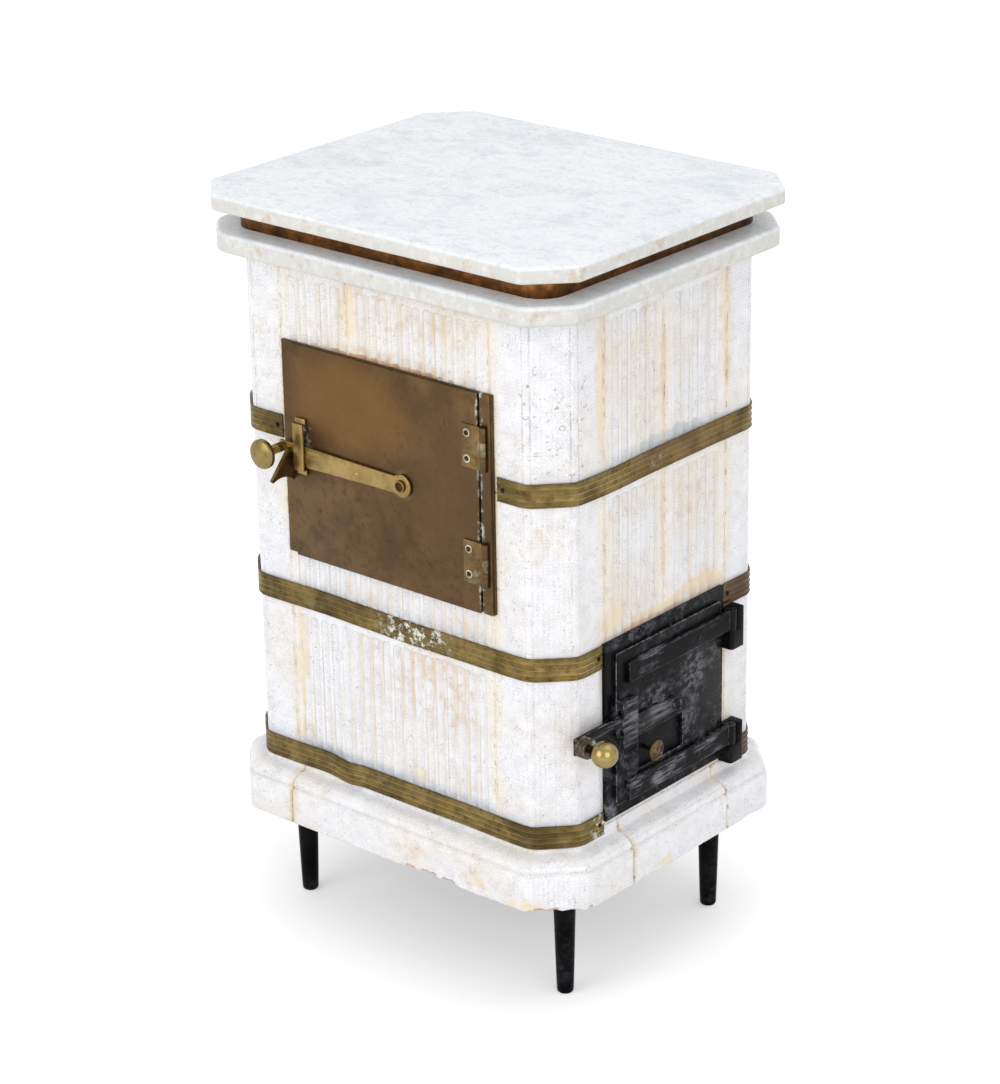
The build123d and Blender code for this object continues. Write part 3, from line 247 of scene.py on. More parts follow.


# glaze over clay: craze lines, stains that run down the ridges, worn edges, chips and pin holes, with painted
# shade in the flutes and grooves and painted shadow above the bands
def glazeMaterial(name, streaks, creamShare, seed, greyShare=0.28):
    n = Surface(name, glazeLook, "white")
    rim, ridge, joint, under, chip, bead, hollow = [n.attribute(mark) for mark in markNames]
    broad = n.noise(8.0 + seed, 3, 0.55)
    fine = n.noise(75.0, 5, 0.65)
    cloudy = n.noise(64.0, 5, 0.65)
    n.lay(n.ramp(broad, 0.36, 0.66), "cream", creamShare)
    n.lay(n.ramp(cloudy, 0.30, 0.80, 0.0, greyShare * 0.6), "grey")
    # the clay of the joints has crept over the edge of the glaze
    n.lay(n.times(n.ramp(joint, 0.02, 0.45), n.patches(20.0, 5, 0.65, 0.40, 0.56)), "cream", 0.8)
    # fine craze lines, grey where dirt has crept in
    size = glazeLook["crazeSize"]
    small = n.ramp(n.cells(size, "DISTANCE_TO_EDGE", (1, 1, 1), 0.55), 0.0, 0.10, 1.0, 0.0)
    large = n.ramp(n.cells(size * 0.28, "DISTANCE_TO_EDGE"), 0.0, 0.022, 1.0, 0.0)
    crazed = n.times(n.larger(small, large), n.ramp(fine, 0.34, 0.66, 0.15, 1.0))
    n.lay(crazed, "grey", glazeLook["crazeStrength"])
    # stains run down along the ridges between the flutes
    zone = n.patches(17.0 + seed, 4, 0.6, 0.56, 0.72, 0.0, streaks)
    for *place, radius, upward, strength in stainPlaces:
        zone = n.larger(zone, n.times(n.near(place, radius, upward), strength))
    drips = n.patches(115.0, 5, 0.65, 0.41, 0.54, stretch=(1, 1, 0.09))
    edged = n.larger(ridge, n.ramp(rim, 0.2, 0.8, 0.2, 1.0))
    n.lay(n.times(drips, edged, zone), "peach", 0.85)
    n.lay(n.times(ridge, n.patches(170.0, 4, 0.6, 0.44, 0.60, 0.0, 0.5, (1, 1, 0.04))), "tan")
    blotches = n.times(zone, n.ramp(fine, 0.47, 0.64), n.ramp(broad, 0.3, 0.6, 0.4, 0.9))
    n.lay(blotches, "peach", 0.75)
    # a thin darker line on both sides of every ridge, partly dirt and partly painted shade at the edge of
    # each flute
    line = n.times(n.ramp(hollow, 0.01, 0.10), n.ramp(hollow, 0.16, 0.42, 1.0, 0.0))
    n.lay(n.times(line, n.patches(60.0, 4, 0.6, 0.36, 0.62, 0.15, 0.8, (1, 1, 0.12))), "lineTan")
    # fine ochre dust caught all over the glaze
    dust = n.times(n.patches(60.0, 6, 0.75, 0.54, 0.66), n.ramp(broad, 0.40, 0.62, 0.15, 0.60))
    n.lay(dust, "tan", 0.35 + creamShare)
    ragged = n.noise(34.0, 6, 0.7)
    # clay smears, two of them grey painted shadow above bands
    for *place, radius, upward, tint in smearPlaces:
        spot = n.plus(n.times(n.near(place, radius, upward), 0.42), ragged)
        n.lay(n.ramp(spot, 0.78, 0.92, 0.0, 0.85), tint)
    # dirt held along the edges of each tile, and painted shade in the bead grooves
    # on the plinth the rim mark also carries painted shade in the quirk groove and under the shoulder
    n.lay(n.times(n.ramp(rim, 0.25, 0.9), n.patches(48.0, 5, 0.7, 0.44, 0.62)), "tan", 0.75)
    n.lay(n.times(n.ramp(rim, 0.5, 1.0), n.patches(90.0, 5, 0.7, 0.50, 0.62)), "brown", 0.8)
    # painted shade: grey in the bead grooves
    n.lay(n.times(n.ramp(bead, 0.1, 0.9), n.ramp(cloudy, 0.35, 0.6, 0.0, 0.5)), "grey")
    # painted shade: the hollows of the flutes are a little greyer than the ridges
    n.lay(n.ramp(hollow, 0.0, 0.5, 0.0, 0.10), "grey")
    # painted shadow with some grime: blue-grey just above each band, where the band stands off the tiles
    n.lay(n.times(under, n.patches(30.0, 4, 0.6, 0.30, 0.55, 0.4, 1.0, (1, 1, 3))), "shade", 0.85)
    # pin holes and chips through the glaze
    pinZone = n.times(n.patches(12.0 + seed, 3, 0.6, 0.38, 0.54), 0.55)
    pins = n.times(n.ramp(n.cells(95.0), 0.06, 0.12, 1.0, 0.0), pinZone)
    chipZone = n.ramp(n.near((206.0, -158.0, 645.0), 90.0, 0.9, 1.8), 0.0, 0.4)
    chipZone = n.times(chipZone, n.patches(26.0, 4, 0.6, 0.42, 0.50))
    spots = n.cells(105.0, "F1", (1, 1, 1.2))
    rings = n.times(n.ramp(spots, 0.20, 0.27), n.ramp(spots, 0.33, 0.42, 1.0, 0.0))
    rings = n.times(rings, n.patches(110.0, 3, 0.6, 0.50, 0.58), chipZone)
    chips = n.larger(pins, rings)
    n.lay(pins, "brown")
    n.lay(rings, "chipTan", 0.75)
    n.lay(n.ramp(chip, 0.25, 0.6), "clay")
    n.finish(n.ramp(n.plus(chips, n.times(fine, 0.5)), 0.1, 1.0, 0.24, 0.65))
    n.bump(n.noise(30.0, 3, 0.5), 0.0014, 0.6)
    n.bump(n.noise(190.0, 3, 0.6), 0.0006, 0.45)
    n.bump(n.plus(crazed, chips), 0.0004, -0.5)
    return n.material


marbleLook = {
    "white": (0.80, 0.82, 0.85),
    "cloud": (0.60, 0.645, 0.68),
    "vein": (0.36, 0.41, 0.44),
    "side": (0.59, 0.575, 0.525),
    "stain": (0.50, 0.37, 0.22),
    "crystal": (0.90, 0.90, 0.89),
}


# fine-grained marble, mottled on top; its sides are a darker cream-grey, partly the stone's own cream and
# partly painted shade, with small bruises
def marbleMaterial(name, topLevel):
    n = Surface(name, marbleLook, "white")
    cloud = n.noise(13.0, 7, 0.7, (1, 1.2, 1), 0.4)
    mottle = n.noise(46.0, 6, 0.72, (1.0, 1.4, 1.0), 0.3)
    veins = n.noise(9.0, 8, 0.72, (1.0, 1.7, 1.0), 1.0)
    thin = n.ramp(n.math("ABSOLUTE", n.math("SUBTRACT", veins, 0.5)), 0.0, 0.02, 1.0, 0.0)
    speck = n.noise(210.0, 4, 0.7)
    height = n.node("SeparateXYZ", {0: n.coords}).outputs["Z"]
    side = n.ramp(height, topLevel - 5 * mm, topLevel - 1.5 * mm, 1.0, 0.0)
    n.lay(n.ramp(cloud, 0.42, 0.70, 0.0, 0.50), "cloud")
    n.lay(n.ramp(mottle, 0.48, 0.66, 0.0, 0.65), "cloud")
    n.lay(n.times(n.patches(70.0, 5, 0.75, 0.60, 0.72), n.ramp(cloud, 0.44, 0.60)), "vein", 0.45)
    n.lay(n.times(thin, n.ramp(cloud, 0.46, 0.64, 0.0, 0.25)), "vein")
    n.lay(n.ramp(speck, 0.54, 0.68, 0.0, 0.4), "vein")
    # the sides darker than the top: partly the stone's cream, partly painted shade
    n.lay(side, "side", 0.8)
    n.lay(n.times(side, n.patches(110.0, 5, 0.7, 0.46, 0.70, 0.0, 0.4)), "crystal")
    n.lay(n.times(side, n.patches(34.0, 6, 0.75, 0.53, 0.68, 0.0, 0.6)), "stain")
    n.finish(n.ramp(speck, 0.3, 0.8, 0.28, 0.5))
    n.bump(n.noise(60.0, 4, 0.6), 0.0007, 0.35)
    n.bump(n.noise(240.0, 3, 0.6), 0.0003, 0.3)
    return n.material


brassLook = {"tarnish": (0.03, 0.022, 0.012), "verdigris": (0.42, 0.50, 0.42)}


# aged brass: tarnish clouds, small dark spots, scratches, a bloom of verdigris, and a painted highlight along
# the ridges of the bands
def brassMaterial(name, light, dark, tarnish, roughness, verdigris=0.0, grain=14.0):
    n = Surface(name, brassLook, light)
    cloud = n.noise(grain, 5, 0.55, (1, 1, 1), 0.2)
    mottle = n.noise(grain * 4, 6, 0.7, (1, 1, 1), 0.3)
    n.lay(n.ramp(cloud, 0.35, 0.68), dark)
    n.lay(n.ramp(mottle, 0.42, 0.66, 0.0, 0.7), dark)
    n.lay(n.patches(160.0, 5, 0.65, 0.50, 0.74, 0.0, tarnish), "tarnish")
    n.lay(n.patches(60.0, 4, 0.6, 0.60, 0.78, 0.0, 0.25, (0.6, 0.6, 12.0)), light)
    # painted highlight: a gold line along the raised ridges of the bands
    n.lay(n.times(n.attribute("ridge"), n.ramp(cloud, 0.3, 0.7, 0.9, 0.45)), bandLook["gold"])
    for *place, radius, upward, tint, strength in brassMarks.get(name, ()):
        spot = n.times(n.near(place, radius, upward), strength)
        if tint == paleFleck:
            spot = n.times(spot, n.patches(130.0, 5, 0.7, 0.50, 0.58))
        n.lay(spot, tint)
    if verdigris:
        n.lay(n.patches(45.0, 5, 0.7, 0.52, 0.70), "verdigris", verdigris)
    n.put("Metallic", 1.0)
    n.finish(n.ramp(cloud, 0.3, 0.8, roughness, roughness + 0.18))
    n.bump(n.noise(9.0, 2, 0.5), 0.004, 0.35)
    n.bump(n.noise(120.0, 5, 0.6), 0.0003, 0.35)
    return n.material


ironLook = {
    "black": (0.002, 0.002, 0.003),
    "soot": (0.008, 0.008, 0.009),
    "worn": (0.19, 0.195, 0.215),
    "pit": (0.003, 0.003, 0.004),
}


# blackened iron: glossy black with grey worn patches, pits and scuffs where it is handled
def ironMaterial(name, scuff, roughness, marks=(), shine=0.2, stretch=(1, 0.8, 1.2)):
    n = Surface(name, ironLook, "black")
    cloud = n.noise(22.0, 6, 0.7)
    grain = n.noise(90.0, 8, 0.8, stretch, 0.1)
    pits = n.noise(260.0, 4, 0.7)
    worn = n.times(n.patches(13.0, 4, 0.6, 0.42, 0.60), n.ramp(grain, 0.48, 0.60, 0.0, scuff))
    for *place, radius, upward, strength in marks:
        spot = n.times(n.near(place, radius, upward), n.ramp(grain, 0.45, 0.58, 0.0, strength))
        worn = n.larger(worn, spot)
    n.lay(n.ramp(cloud, 0.35, 0.7), "soot")
    n.lay(worn, "worn")
    n.lay(n.ramp(pits, 0.60, 0.80, 0.0, 0.35), "pit")
    n.put("Specular IOR Level", shine)
    n.finish(n.plus(n.ramp(cloud, 0.3, 0.75, roughness, roughness + 0.2), n.times(worn, 0.3)))
    n.bump(n.noise(18.0, 4, 0.6), 0.0018, 0.6)
    n.bump(n.plus(grain, pits), 0.0006, 0.6)
    return n.material


def clayMaterial(name, color, second):
    n = Surface(name, {}, color)
    n.lay(n.patches(25.0, 5, 0.7, 0.35, 0.7), second)
    n.finish(0.9)
    n.bump(n.noise(180.0, 5, 0.7), 0.0008, 0.6)
    return n.material


bandLook = {
    "rise": 5.0,
    "wave": 0.8,
    "cornerRadius": 24.0,
    # ridgeTop, ridgeReach and gold: where the painted highlight lies on the band ridges, and its colour
    "ridgeTop": 2.25,
    "ridgeReach": 8.0,
    "gold": (0.60, 0.45, 0.17),
}

# marks on brass: x, y, z, radius, upward stretch, colour, strength
warmBrass = (0.22, 0.115, 0.039)
paleFleck = (0.70, 0.72, 0.66)
brassMarks = {
    "brass_leaf": (
        (-50.0, -183.5, 620.0, 110.0, 1.5, warmBrass, 0.6),
        (90.0, -183.5, 560.0, 90.0, 1.0, (0.12, 0.07, 0.035), 0.5),
        (131.0, -182.0, 640.0, 6.0, 0.06, paleFleck, 0.8), (131.0, -182.0, 500.0, 6.0, 0.06, paleFleck, 0.8),
        (-102.0, -183.5, 570.0, 7.0, 0.3, paleFleck, 0.8), (-112.0, -183.5, 583.0, 11.0, 1.0, paleFleck, 0.8),
        (28.6, -183.5, 552.3, 18.0, 1.0, (0.36, 0.28, 0.11), 0.6),
    ),
    "brass_band": (
        (34.0, -180.0, 390.0, 62.0, 1.6, paleFleck, 0.9), (221.0, -108.0, 202.0, 24.0, 0.8, paleFleck, 0.9),
        (221.0, -20.0, 576.0, 14.0, 1.0, paleFleck, 0.5),
        (221.0, 20.0, 576.0, 130.0, 1.0, (0.15, 0.09, 0.036), 0.5),
        (221.0, 150.0, 389.0, 75.0, 1.0, (0.085, 0.05, 0.03), 0.9),
        (221.0, 160.0, 202.0, 75.0, 1.0, (0.085, 0.045, 0.028), 0.9),
    ),
}

# scuffs on the iron door: x, y, z, radius, upward stretch, strength
ironMarks = (
    (229.0, 36.0, 322.0, 30.0, 0.6, 0.7), (229.0, 30.0, 268.0, 18.0, 0.6, 0.6),
    (229.0, -30.0, 322.0, 40.0, 2.5, 0.5), (229.0, 70.0, 335.0, 20.0, 0.8, 0.35),
    (232.0, -79.0, 310.0, 24.0, 0.6, 0.9), (232.0, -20.0, 305.0, 34.0, 1.6, 0.8),
    (226.0, -100.0, 212.0, 16.0, 0.8, 0.9), (226.0, -60.0, 398.0, 60.0, 6.0, 0.4),
)

# what each point of a tile's mesh carries for the glaze
# under carries painted shadow above the bands; hollow and bead carry painted shade in the flutes and bead
# grooves
markNames = ("rim", "ridge", "joint", "under", "chip", "bead", "hollow")

glaze = glazeMaterial("glaze", 0.40, 0.25, 0.0)
glazeCorner = glazeMaterial("glaze_corner", 0.35, 0.35, 2.4, 0.45)
glazeTop = glazeMaterial("glaze_top", 0.9, 0.75, 0.9)
glazeWarm = glazeMaterial("glaze_warm", 0.55, 0.80, 1.7)
glazePlinth = glazeMaterial("glaze_plinth", 0.6, 0.50, 3.1, 0.42)
leafBrass = brassMaterial("brass_leaf", (0.137, 0.083, 0.036), (0.078, 0.048, 0.023), 0.5, 0.36, 0.0, 9.0)
goldBrass = brassMaterial("brass_gold", (0.38, 0.27, 0.10), (0.24, 0.16, 0.057), 0.5, 0.28)
knobBrass = brassMaterial("brass_knob", (0.31, 0.235, 0.088), (0.18, 0.13, 0.048), 0.5, 0.18)
ballBrass = brassMaterial("brass_ball", (0.40, 0.31, 0.12), (0.25, 0.185, 0.07), 0.4, 0.16)
darkBrass = brassMaterial("brass_dark", (0.09, 0.05, 0.027), (0.05, 0.027, 0.015), 0.5, 0.5)
wornBrass = brassMaterial("brass_worn", (0.17, 0.11, 0.047), (0.043, 0.029, 0.017), 0.8, 0.34, 0.35, 40.0)
collarBrass = brassMaterial("brass_collar", (0.13, 0.10, 0.075), (0.022, 0.018, 0.014), 0.8, 0.30, 0.8, 60.0)
hingeBrass = brassMaterial("brass_hinge", (0.235, 0.157, 0.063), (0.125, 0.079, 0.033), 0.6, 0.40, 0.4)
bandBrass = brassMaterial("brass_band", (0.215, 0.153, 0.052), (0.094, 0.063, 0.023), 0.7, 0.34, 0.10, 20.0)
stripCopper = brassMaterial("strip_copper", (0.28, 0.115, 0.032), (0.068, 0.029, 0.011), 0.7, 0.30, 0.0, 24.0)
iron = ironMaterial("iron_black", 0.3, 0.20, ironMarks, 0.06)
ironWorn = ironMaterial("iron_worn", 1.0, 0.28, ironMarks, 0.10, (1, 0.25, 2.5))
ironDark = ironMaterial("iron_dark", 0.10, 0.30, (), 0.06)
ironGloss = ironMaterial("iron_gloss", 0.10, 0.18, (), 0.03)
sheetIron = ironMaterial("iron_sheet", 0.15, 0.55)
# paler bevels on the edges of black iron: partly worn grey, partly painted highlight
ironEdgeWearAndHighlight = ironMaterial("iron_edge_wear_and_highlight", 1.0, 0.30, ((229.0, 0.0, 310.0, 900.0, 1.0, 0.9),), 0.2)
# pale brass that stands for highlights on small rivets
paleBrassHighlight = brassMaterial("brass_pale_highlight", (0.62, 0.56, 0.42), (0.40, 0.36, 0.26), 0.4, 0.45, 0.6)
fireclay = clayMaterial("fireclay", (0.50, 0.38, 0.26), (0.36, 0.26, 0.17))
mortar = clayMaterial("joint_clay", (0.80, 0.76, 0.68), (0.66, 0.53, 0.37))
print("materials made")


# puts a mesh into the scene, on one of the bodies
def placed(name, mesh, bodyName):
    obj = bpy.data.objects.new(name, mesh)
    bpy.context.scene.collection.objects.link(obj)
    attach(obj, bodyName)
    return obj


# marks smooth and sharp edges, after a change of the shape where one is given
def finishMesh(mesh, sharp, reshape=None):
    bm = bmesh.new()
    bm.from_mesh(mesh)
    if reshape:
        reshape(bm)
        bm.normal_update()
    bmesh.ops.recalc_face_normals(bm, faces=bm.faces)
    limit = math.radians(sharp)
    for edge in bm.edges:
        edge.smooth = len(edge.link_faces) != 2 or edge.calc_face_angle(0.0) < limit
    for face in bm.faces:
        face.smooth = True
    bm.to_mesh(mesh)
    bm.free()


def newPiece(name, verts, faces, material, bodyName, marks=None, sharp=40.0, reshape=None):
    mesh = bpy.data.meshes.new(name)
    mesh.from_pydata([tuple(v) for v in verts], [], faces)
    for key, values in (marks or {}).items():
        mesh.attributes.new(key, "FLOAT", "POINT").data.foreach_set("value", values)
    finishMesh(mesh, sharp, reshape)
    mesh.materials.append(material)
    obj = placed(name, mesh, bodyName)
    return obj


easedLook = {"creaseAngle": 30.0, "smoothAngle": 50.0, "segments": 2}


# a CAD node copied with its edges eased, to stand for that node
def eased(node, material, width, reshape=None, edgeMaterial=None):
    source = frame["nodes"][node]
    mesh = source.data.copy()
    mesh.name = node + "_look"
    mesh.materials.clear()

    def ease(bm):
        for face in bm.faces:
            face.material_index = 0
        bmesh.ops.remove_doubles(bm, verts=bm.verts, dist=0.00001)
        bmesh.ops.dissolve_limit(bm, angle_limit=math.radians(1.0), verts=bm.verts, edges=bm.edges)
        if reshape:
            reshape(bm)
        limit = math.radians(easedLook["creaseAngle"])
        edges = [e for e in bm.edges if len(e.link_faces) == 2 and e.calc_face_angle(0.0) > limit]
        if edges:
            bmesh.ops.bevel(
                bm, geom=edges, offset=width * mm, segments=easedLook["segments"], profile=0.5,
                affect="EDGES", clamp_overlap=True, material=1 if edgeMaterial else -1,
            )

    finishMesh(mesh, easedLook["smoothAngle"], ease)
    mesh.materials.append(material)
    if edgeMaterial:
        mesh.materials.append(edgeMaterial)
    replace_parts(placed(node + "_look", mesh, source["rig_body"]), node)


# points of one corner from its front or back leg to its side leg, with outward normals
def creasePath(offset, radius, startX, endY, signX, signY):
    cut = body["cornerCut"] + offset * (2 - math.sqrt(2))
    hx = body["halfWidth"] + offset
    hy = body["halfDepth"] + offset
    tangent = radius * math.tan(math.pi / 8)
    first = (hx - cut, hy)
    second = (hx, hy - cut)
    points = []

    def straight(a, b, normal, shares):
        for t in shares:
            points.append((a[0] + (b[0] - a[0]) * t, a[1] + (b[1] - a[1]) * t, *normal))

    def arc(corner, inDir, fromAngle):
        cx = corner[0] - inDir[0] * tangent
        cy = corner[1] - inDir[1] * tangent
        normal = (math.cos(fromAngle), math.sin(fromAngle))
        cx -= normal[0] * radius
        cy -= normal[1] * radius
        for k in range(1, 6):
            angle = fromAngle - k * math.pi / 4 / 6
            points.append((cx + math.cos(angle) * radius, cy + math.sin(angle) * radius,
                           math.cos(angle), math.sin(angle)))

    diagonal = 1 / math.sqrt(2)
    a0 = (startX, hy)
    a1 = (first[0] - tangent, hy)
    b0 = (first[0] + tangent * diagonal, first[1] - tangent * diagonal)
    b1 = (second[0] - tangent * diagonal, second[1] + tangent * diagonal)
    c0 = (hx, second[1] - tangent)
    c1 = (hx, endY)
    leg = cornerLook["legStations"]
    straight(a0, a1, (0, 1), leg)
    arc(first, (1, 0), math.pi / 2)
    straight(b0, b1, (diagonal, diagonal), cornerLook["panelStations"])
    arc(second, (diagonal, -diagonal), math.pi / 4)
    straight(c0, c1, (1, 0), [1 - t for t in reversed(leg)])
    return [(x * signX, y * signY, nx * signX, ny * signY) for x, y, nx, ny in points]


cornerLook = {
    "legStations": (0, 0.02, 0.045, 0.08, 0.2, 0.4, 0.6, 0.8, 0.93, 0.965, 1.0),
    "panelStations": (0, 0.04, 0.08, 0.25, 0.42, 0.58, 0.75, 0.92, 0.96, 1.0),
    "beadDepth": 1.3,
    "beadWidth": 1.3,
    "beadShares": (0.5, 0.6, 1.0),
    "edgeRound": 1.6,
}


class Marks:
    def __init__(self):
        self.values = {name: [] for name in markNames}

    def add(self, reach, sideReach, rim=0.0, **shares):
        shares["rim"] = max(rim, 1 - reach / 6.0, 0.0)
        shares["joint"] = max(0.0, 1 - sideReach / 13.0)
        for name, values in self.values.items():
            values.append(shares.get(name, 0.0))


# how much painted shadow, with some grime, lies just above a band at a height; the lowest band gets the most
def bandShadowAndGrime(z):
    share = 0.0
    for bottom, strength in zip(body["rowBottoms"], (1.0, 0.45, 0.55)):
        share = max(share, strength * smoothStep(0.0, 0.5, 1 - abs(z - bottom - 14.0) / 15.0))
    return share


# dirt under the overhang of the marble rim
def topDirt(z):
    return 0.85 * smoothStep(10.0, 1.0, bodyTop - z)


def edgeDrop(distance, radius):
    if distance >= radius:
        return 0.0
    t = (radius - distance) / radius
    return radius * (1 - math.sqrt(max(0.0, 1 - t * t)))


# stations along a length, close together near both ends
def stations(length, edge, reach, extra=()):
    near = {0, 0.3 * edge, 0.7 * edge, edge, reach * edge, *extra}
    return near | {length - v for v in near}


def pathLengths(points):
    lengths = [0.0]
    for a, b in zip(points[:-1], points[1:]):
        lengths.append(lengths[-1] + math.hypot(b[0] - a[0], b[1] - a[1]))
    return lengths


# the faces of a grid of points; each row may be a ring, and the last row may join the first
def gridFaces(rows, columns, ring=False, loop=False):
    faces = []
    for r in range(rows if loop else rows - 1):
        a, b = r * columns, (r + 1) % rows * columns
        for k in range(columns if ring else columns - 1):
            c = (k + 1) % columns
            faces.append((a + k, a + c, b + c, b + k))
    return faces


# a tube of rings, closed at both ends
def tubeFaces(rows, columns):
    ends = [tuple(range(columns)), tuple(range((rows - 1) * columns, rows * columns))]
    return gridFaces(rows, columns, ring=True) + ends


# one bent corner tile, closed at its back
def cornerTile(name, signX, signY, row, material, seed):
    joint = body["joint"] / 2
    start, end = body["frontJoint"] + joint, body["sideJoint"] + joint
    height = body["rowHeight"] - body["joint"]
    low = body["rowBottoms"][row]
    outer = creasePath(0.0, body["creaseRadius"], start, end, signX, signY)
    inner = creasePath(-body["tileThickness"], 1.0, start, end, signX, signY)
    edge = cornerLook["edgeRound"]
    rows = sorted(stations(height, edge, 2.2) | {height * k / 14 for k in range(1, 14)})
    lengths = pathLengths(outer)
    total = lengths[-1]
    # a bead groove runs along each side of both creases
    beads = []
    for k in range(1, len(outer)):
        turned = abs(outer[k][2] - outer[k - 1][2]) > 1e-4
        if turned == (len(beads) % 2 == 0):
            beads.append(lengths[k - 1])
    verts, marks = [], Marks()
    for v in rows:
        for s, (x, y, nx, ny) in zip(lengths, outer):
            side = min(s, total - s)
            drop = edgeDrop(side, edge) + edgeDrop(min(v, height - v), edge)
            groove = max(0.0, 1 - min(abs(s - bead) for bead in beads) / cornerLook["beadWidth"])
            groove *= cornerLook["beadShares"][row] * (0.8 + 0.6 * wobble(x, y, low + v, 30, seed))
            drop += cornerLook["beadDepth"] * groove
            drop += 0.35 + 0.35 * wobble(x, y, low + v, 55, seed)
            verts.append(world(x - nx * drop, y - ny * drop, low + v))
            reach = min(side, v, height - v)
            marks.add(reach, side, under=bandShadowAndGrime(low + v), bead=groove, rim=topDirt(low + v))
    columns = len(outer)
    faces = gridFaces(len(rows), columns)
    backLow = len(verts)
    for v in (0, height):
        for x, y, nx, ny in inner:
            verts.append(world(x, y, low + v))
            marks.add(0.0, 0.0)
    backHigh = backLow + columns
    for k in range(columns - 1):
        for a, b in ((0, backLow), (backLow - columns, backHigh), (backLow, backHigh)):
            faces.append((a + k, a + k + 1, b + k + 1, b + k))
    for column in (0, columns - 1):
        upright = range(column, backLow, columns)
        faces.append((*upright, backHigh + column, backLow + column))
    return newPiece(name, verts, faces, material, "stove", marks.values)


sides = {
    "front": ((1, 0), (0, -1), 178.0),
    "right": ((0, 1), (1, 0), 221.0),
    "back": ((-1, 0), (0, 1), 178.0),
    "left": ((0, -1), (-1, 0), 221.0),
}

fluteLook = {
    "pitch": 14.6,
    "width": 10.8,
    "spacedWidth": 10.5,
    "depth": 2.4,
    "sideMargin": 10.0,
    "endMargin": 15.0,
    "edgeRound": 1.5,
    "wave": 0.35,
}


def onFace(side, u, v, w):
    along, out, reach = sides[side]
    x = along[0] * u + out[0] * (reach + w)
    y = along[1] * u + out[1] * (reach + w)
    return world(x, y, v)


def fluteCentres(width):
    span = width - 2 * fluteLook["sideMargin"] - fluteLook["spacedWidth"]
    count = int(span / fluteLook["pitch"]) + 1
    return [(k - (count - 1) / 2) * fluteLook["pitch"] + width / 2 for k in range(count)]


def fluteDepth(u, v, centres, height):
    half = fluteLook["width"] / 2
    nearest = min(abs(u - c) for c in centres)
    middle = height / 2 - fluteLook["endMargin"] - half
    beyond = max(0.0, abs(v - height / 2) - middle) / half
    r = math.hypot(nearest / half, beyond)
    return max(0.0, 1 - r * r) if r < 1 else 0.0


def inHole(u, v, hole):
    if len(hole) == 5:
        return math.hypot(u - (hole[0] + hole[1]) / 2, v - (hole[2] + hole[3]) / 2) < hole[4]
    return hole[0] < u < hole[1] and hole[2] < v < hole[3]


# gives the front sheet of a flat tile straight sides and a flat back
def closeBack(side):
    along, out, reach = sides[side]
    level = (reach - body["tileThickness"]) * mm

    def close(bm):
        border = [e for e in bm.edges if e.is_boundary]
        made = bmesh.ops.extrude_edge_only(bm, edges=border)["geom"]
        for vert in made:
            if isinstance(vert, bmesh.types.BMVert) and out[0]:
                vert.co.x = bodyX + out[0] * level
            elif isinstance(vert, bmesh.types.BMVert):
                vert.co.y = bodyY + out[1] * level
        backEdges = [e for e in made if isinstance(e, bmesh.types.BMEdge) and e.is_boundary]
        bmesh.ops.triangle_fill(bm, edges=backEdges, use_beauty=False)

    return close


def flatTile(name, side, low, high, row, material, seed, hole=None, plain=False):
    joint = body["joint"]
    uLow = low + joint / 2
    width = high - low - joint
    bottom = body["rowBottoms"][row]
    height = body["rowHeight"] - joint
    edge = fluteLook["edgeRound"]
    margin = fluteLook["endMargin"]
    centres = [] if plain else fluteCentres(width)
    half = fluteLook["width"] / 2
    columns = stations(width, edge, 2.5)
    for share in (-1.12, -1.0, -0.86, -0.55, -0.2, 0.2, 0.55, 0.86, 1.0, 1.12):
        columns |= {c + share * half for c in centres}
    if plain:
        columns |= {width * k / 24 for k in range(25)}
    fluteEnds = [margin + step for step in (0, 0.5, 1.5, 3.0, 5.4)] if centres else ()
    rows = stations(height, edge, 2.5, fluteEnds) | {height * k / 12 for k in range(1, 12)}
    if hole:
        columns |= {hole[0] - uLow, hole[1] - uLow}
        rows |= {hole[2] - bottom, hole[3] - bottom}
    columns = sorted(c for c in columns if -1e-6 <= c <= width + 1e-6)
    rows = sorted(v for v in rows if -1e-6 <= v <= height + 1e-6)
    verts, marks = [], Marks()
    for v in rows:
        for u in columns:
            across, upward = min(u, width - u), min(v, height - v)
            flute = fluteDepth(u, v, centres, height) if centres else 0.0
            drop = edgeDrop(across, edge) + edgeDrop(upward, edge)
            drop += fluteLook["depth"] * flute
            drop += 0.35 + fluteLook["wave"] * wobble(u + low, v, bottom, 60, seed)
            verts.append(onFace(side, uLow + u, bottom + v, -drop))
            fluted = centres and centres[0] - half - 2 < u < centres[-1] + half + 2
            fluted = fluted and margin < v < height - margin
            marks.add(
                min(across, upward), across, under=bandShadowAndGrime(bottom + v), rim=topDirt(bottom + v),
                ridge=max(0.0, 1 - flute * 3.2) if fluted else 0.0, hollow=flute,
            )
    faces = []
    for face in gridFaces(len(rows), len(columns)):
        r, k = divmod(face[0], len(columns))
        u = uLow + (columns[k] + columns[k + 1]) / 2
        v = bottom + (rows[r] + rows[r + 1]) / 2
        if not (hole and inHole(u, v, hole)):
            faces.append(face)
    used = sorted({i for face in faces for i in face})
    index = {old: new for new, old in enumerate(used)}
    faces = [tuple(index[i] for i in face) for face in faces]
    values = {key: [shares[i] for i in used] for key, shares in marks.values.items()}
    sheet = [verts[i] for i in used]
    return newPiece(name, sheet, faces, material, "stove", values, reshape=closeBack(side))


tileSeed = 0
for name, signX, signY in (
    ("front_left", -1, -1), ("front_right", 1, -1), ("back_left", -1, 1), ("back_right", 1, 1),
):
    node = "corner_tiles_" + name
    for row in range(3):
        tileSeed += 1
        piece = cornerTile(node + "_%d" % row, signX, signY, row, glazeCorner, tileSeed)
        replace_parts(piece, node)

